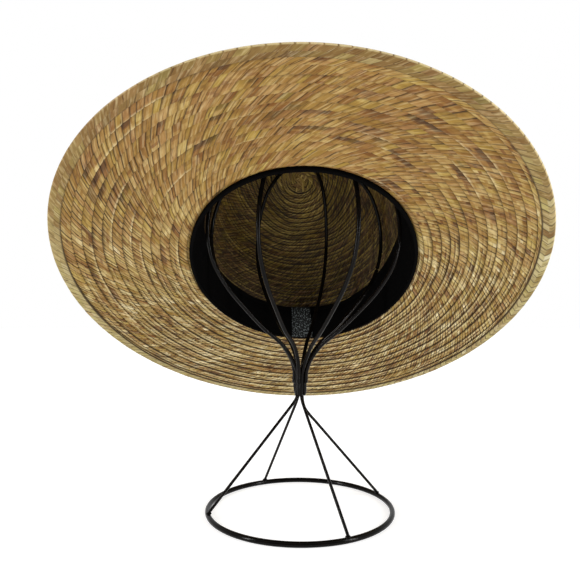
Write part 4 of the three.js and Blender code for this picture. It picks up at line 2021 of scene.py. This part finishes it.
@dataclass(frozen=True)
class Studio:
    """The camera, the pale floor and the soft light.

    Attributes:
        middle: Middle of the stand's ring, in millimetres.
        back: How far the camera stands in front of it.
        height: The camera's height.
        lens: Focal length for a 36 mm wide sensor.
        pitch: How far the camera looks up, in radians.
        yaw: How far it looks to the left, in radians.
        surroundings: Brightness of the room in front, and of what is above and behind.
        glow: Light that comes through the pale floor.
        floor_reach: How far the floor reaches each way, in metres.
        lamp_place: Where the lamp at the right hangs, in metres; the other is across from it.
        lamp_size: A lamp's width and height in metres.
        lamp_power: A lamp's power in watts.
        lamp_aim: The place that the lamps face.
    """

    middle: Pair = (-4.06, 17.03)
    back: float = 422.69
    height: float = 145.48
    lens: float = 33.97
    pitch: float = 0.0499
    yaw: float = 0.0174
    surroundings: Pair = (0.05, 0.9)
    glow: float = 0.7
    floor_reach: float = 6.0
    lamp_place: Triple = (0.8, -0.45, 0.3)
    lamp_size: Pair = (0.05, 0.7)
    lamp_power: float = 6.0
    lamp_aim: Triple = (0.0, 0.05, 0.2)

    def camera(self) -> None:
        """Place the camera."""
        data = bpy.data.cameras.new("camera")
        data.lens = self.lens
        data.sensor_width = 36.0
        data.clip_start = 0.01
        camera = put_in_scene("camera", data)
        camera.location = (self.middle[0] * MM, (self.middle[1] - self.back) * MM, self.height * MM)
        camera.rotation_euler = (math.pi / 2 + self.pitch, 0.0, self.yaw)
        bpy.context.scene.camera = camera

    def floor(self) -> None:
        """Lay the floor."""
        mesh = bpy.data.meshes.new("floor")
        sides = ((-1, -1), (1, -1), (1, 1), (-1, 1))
        corners = [(x * self.floor_reach, y * self.floor_reach, 0.0) for x, y in sides]
        mesh.from_pydata(corners, [], [(0, 1, 2, 3)])
        sketch = NodeSketch("pale_floor")
        sketch.set(Base_Color=linear("c8c8c8"), Roughness=0.9, Specular_IOR_Level=0.1)
        sketch.set(Emission_Color=linear("ffffff"), Emission_Strength=self.glow)
        mesh.materials.append(sketch.material)
        put_in_scene("floor", mesh)

    def lamps(self) -> None:
        """Hang a tall soft light at each side."""
        for side in (-1, 1):
            name, place = f"strip_{side}", (side * self.lamp_place[0], *self.lamp_place[1:])
            data = bpy.data.lights.new(name, "AREA")
            data.shape, data.energy = "RECTANGLE", self.lamp_power
            data.size, data.size_y = self.lamp_size
            lamp = put_in_scene(name, data)
            lamp.location = place
            away = unit(np.array(self.lamp_aim) - np.array(place))
            lamp.rotation_euler = (math.acos(-away[2]), 0.0, math.atan2(away[0], -away[1]) + math.pi)
            lamp.visible_camera = False

    def surround(self) -> None:
        """Set the pale surroundings."""
        world = bpy.data.worlds.new("surroundings")
        bpy.context.scene.world = world
        world.use_nodes = True
        tree = world.node_tree
        seen, felt = tree.nodes["Background"], tree.nodes.new("ShaderNodeBackground")
        for sky in (seen, felt):
            sky.inputs["Color"].default_value = (1.0, 1.0, 1.0, 1.0)
        seen.inputs["Strength"].default_value = 1.0
        away = tree.nodes.new("ShaderNodeTexCoord")
        slope = tree.nodes.new("ShaderNodeVectorMath")
        slope.operation = "DOT_PRODUCT"
        slope.inputs[1].default_value = (0.0, 0.8, 0.6)
        fade = tree.nodes.new("ShaderNodeMapRange")
        fade.interpolation_type = "SMOOTHSTEP"
        for name, value in zip(("From Min", "From Max", "To Min", "To Max"), (-0.6, 0.5, *self.surroundings)):
            fade.inputs[name].default_value = value
        path, mix = tree.nodes.new("ShaderNodeLightPath"), tree.nodes.new("ShaderNodeMixShader")
        tree.links.new(away.outputs["Generated"], slope.inputs[0])
        tree.links.new(slope.outputs["Value"], fade.inputs["Value"])
        tree.links.new(fade.outputs["Result"], felt.inputs["Strength"])
        tree.links.new(path.outputs["Is Camera Ray"], mix.inputs["Fac"])
        tree.links.new(felt.outputs["Background"], mix.inputs[1])
        tree.links.new(seen.outputs["Background"], mix.inputs[2])
        tree.links.new(mix.outputs["Shader"], tree.nodes["World Output"].inputs["Surface"])
        bpy.context.scene.view_settings.view_transform = "Standard"

    def build(self) -> None:
        """Set up the camera, the floor and the lights."""
        self.camera()
        self.floor()
        self.surround()
        self.lamps()


def main() -> None:
    """Build the studio, the hat and the stand."""
    logging.basicConfig(level=logging.INFO, format="%(message)s")
    Studio().build()
    pose = HatPose()
    straw = StrawFinish("plaited_straw").make()
    # The crown's inner face has a darker copy of the straw: painted shade.
    shaded = StrawFinish(
        "crown_inside_painted_shade_straw",
        tints=("2a1803", "432a07", "58400c", "665012", "755e19", "9c8340"),
        rosy="7d5c38",
        olive="6f5f22",
        gap="1c1104",
        crease="2f1e08",
        pale="a8904e",
    ).make()
    edge_tints = ("4e340e", "6d4e1f", "836a38", "9c8c5c", "b3a67c", "cbc3a1")
    edge_straw = StrawFinish("edge_straw", tints=edge_tints, gap="3a2a14", olive="a39650").make()
    lining = PlaitRows(first_width=4.5, seed=51, painted_shade_to_last_row=0.95, uneven=1.6)
    crown = StrawCrown(pose, PlaitRows(first_width=4.5, seed=11), lining)
    crown.build(straw, shaded)
    brim = StrawBrim(pose, PlaitRows(seed=21, front_soft=0.5, front_painted_shade_and_evenness=0.22, edge_reach=4.1))
    brim.build(straw)
    EdgeBraid(brim).build(edge_straw)
    band = Sweatband(crown)
    band.build(ClothFinish().make())
    BandLabel(band).build(LabelFinish().make())
    WireStand().build(WireFinish().make())


if __name__ == "__main__":
    main()
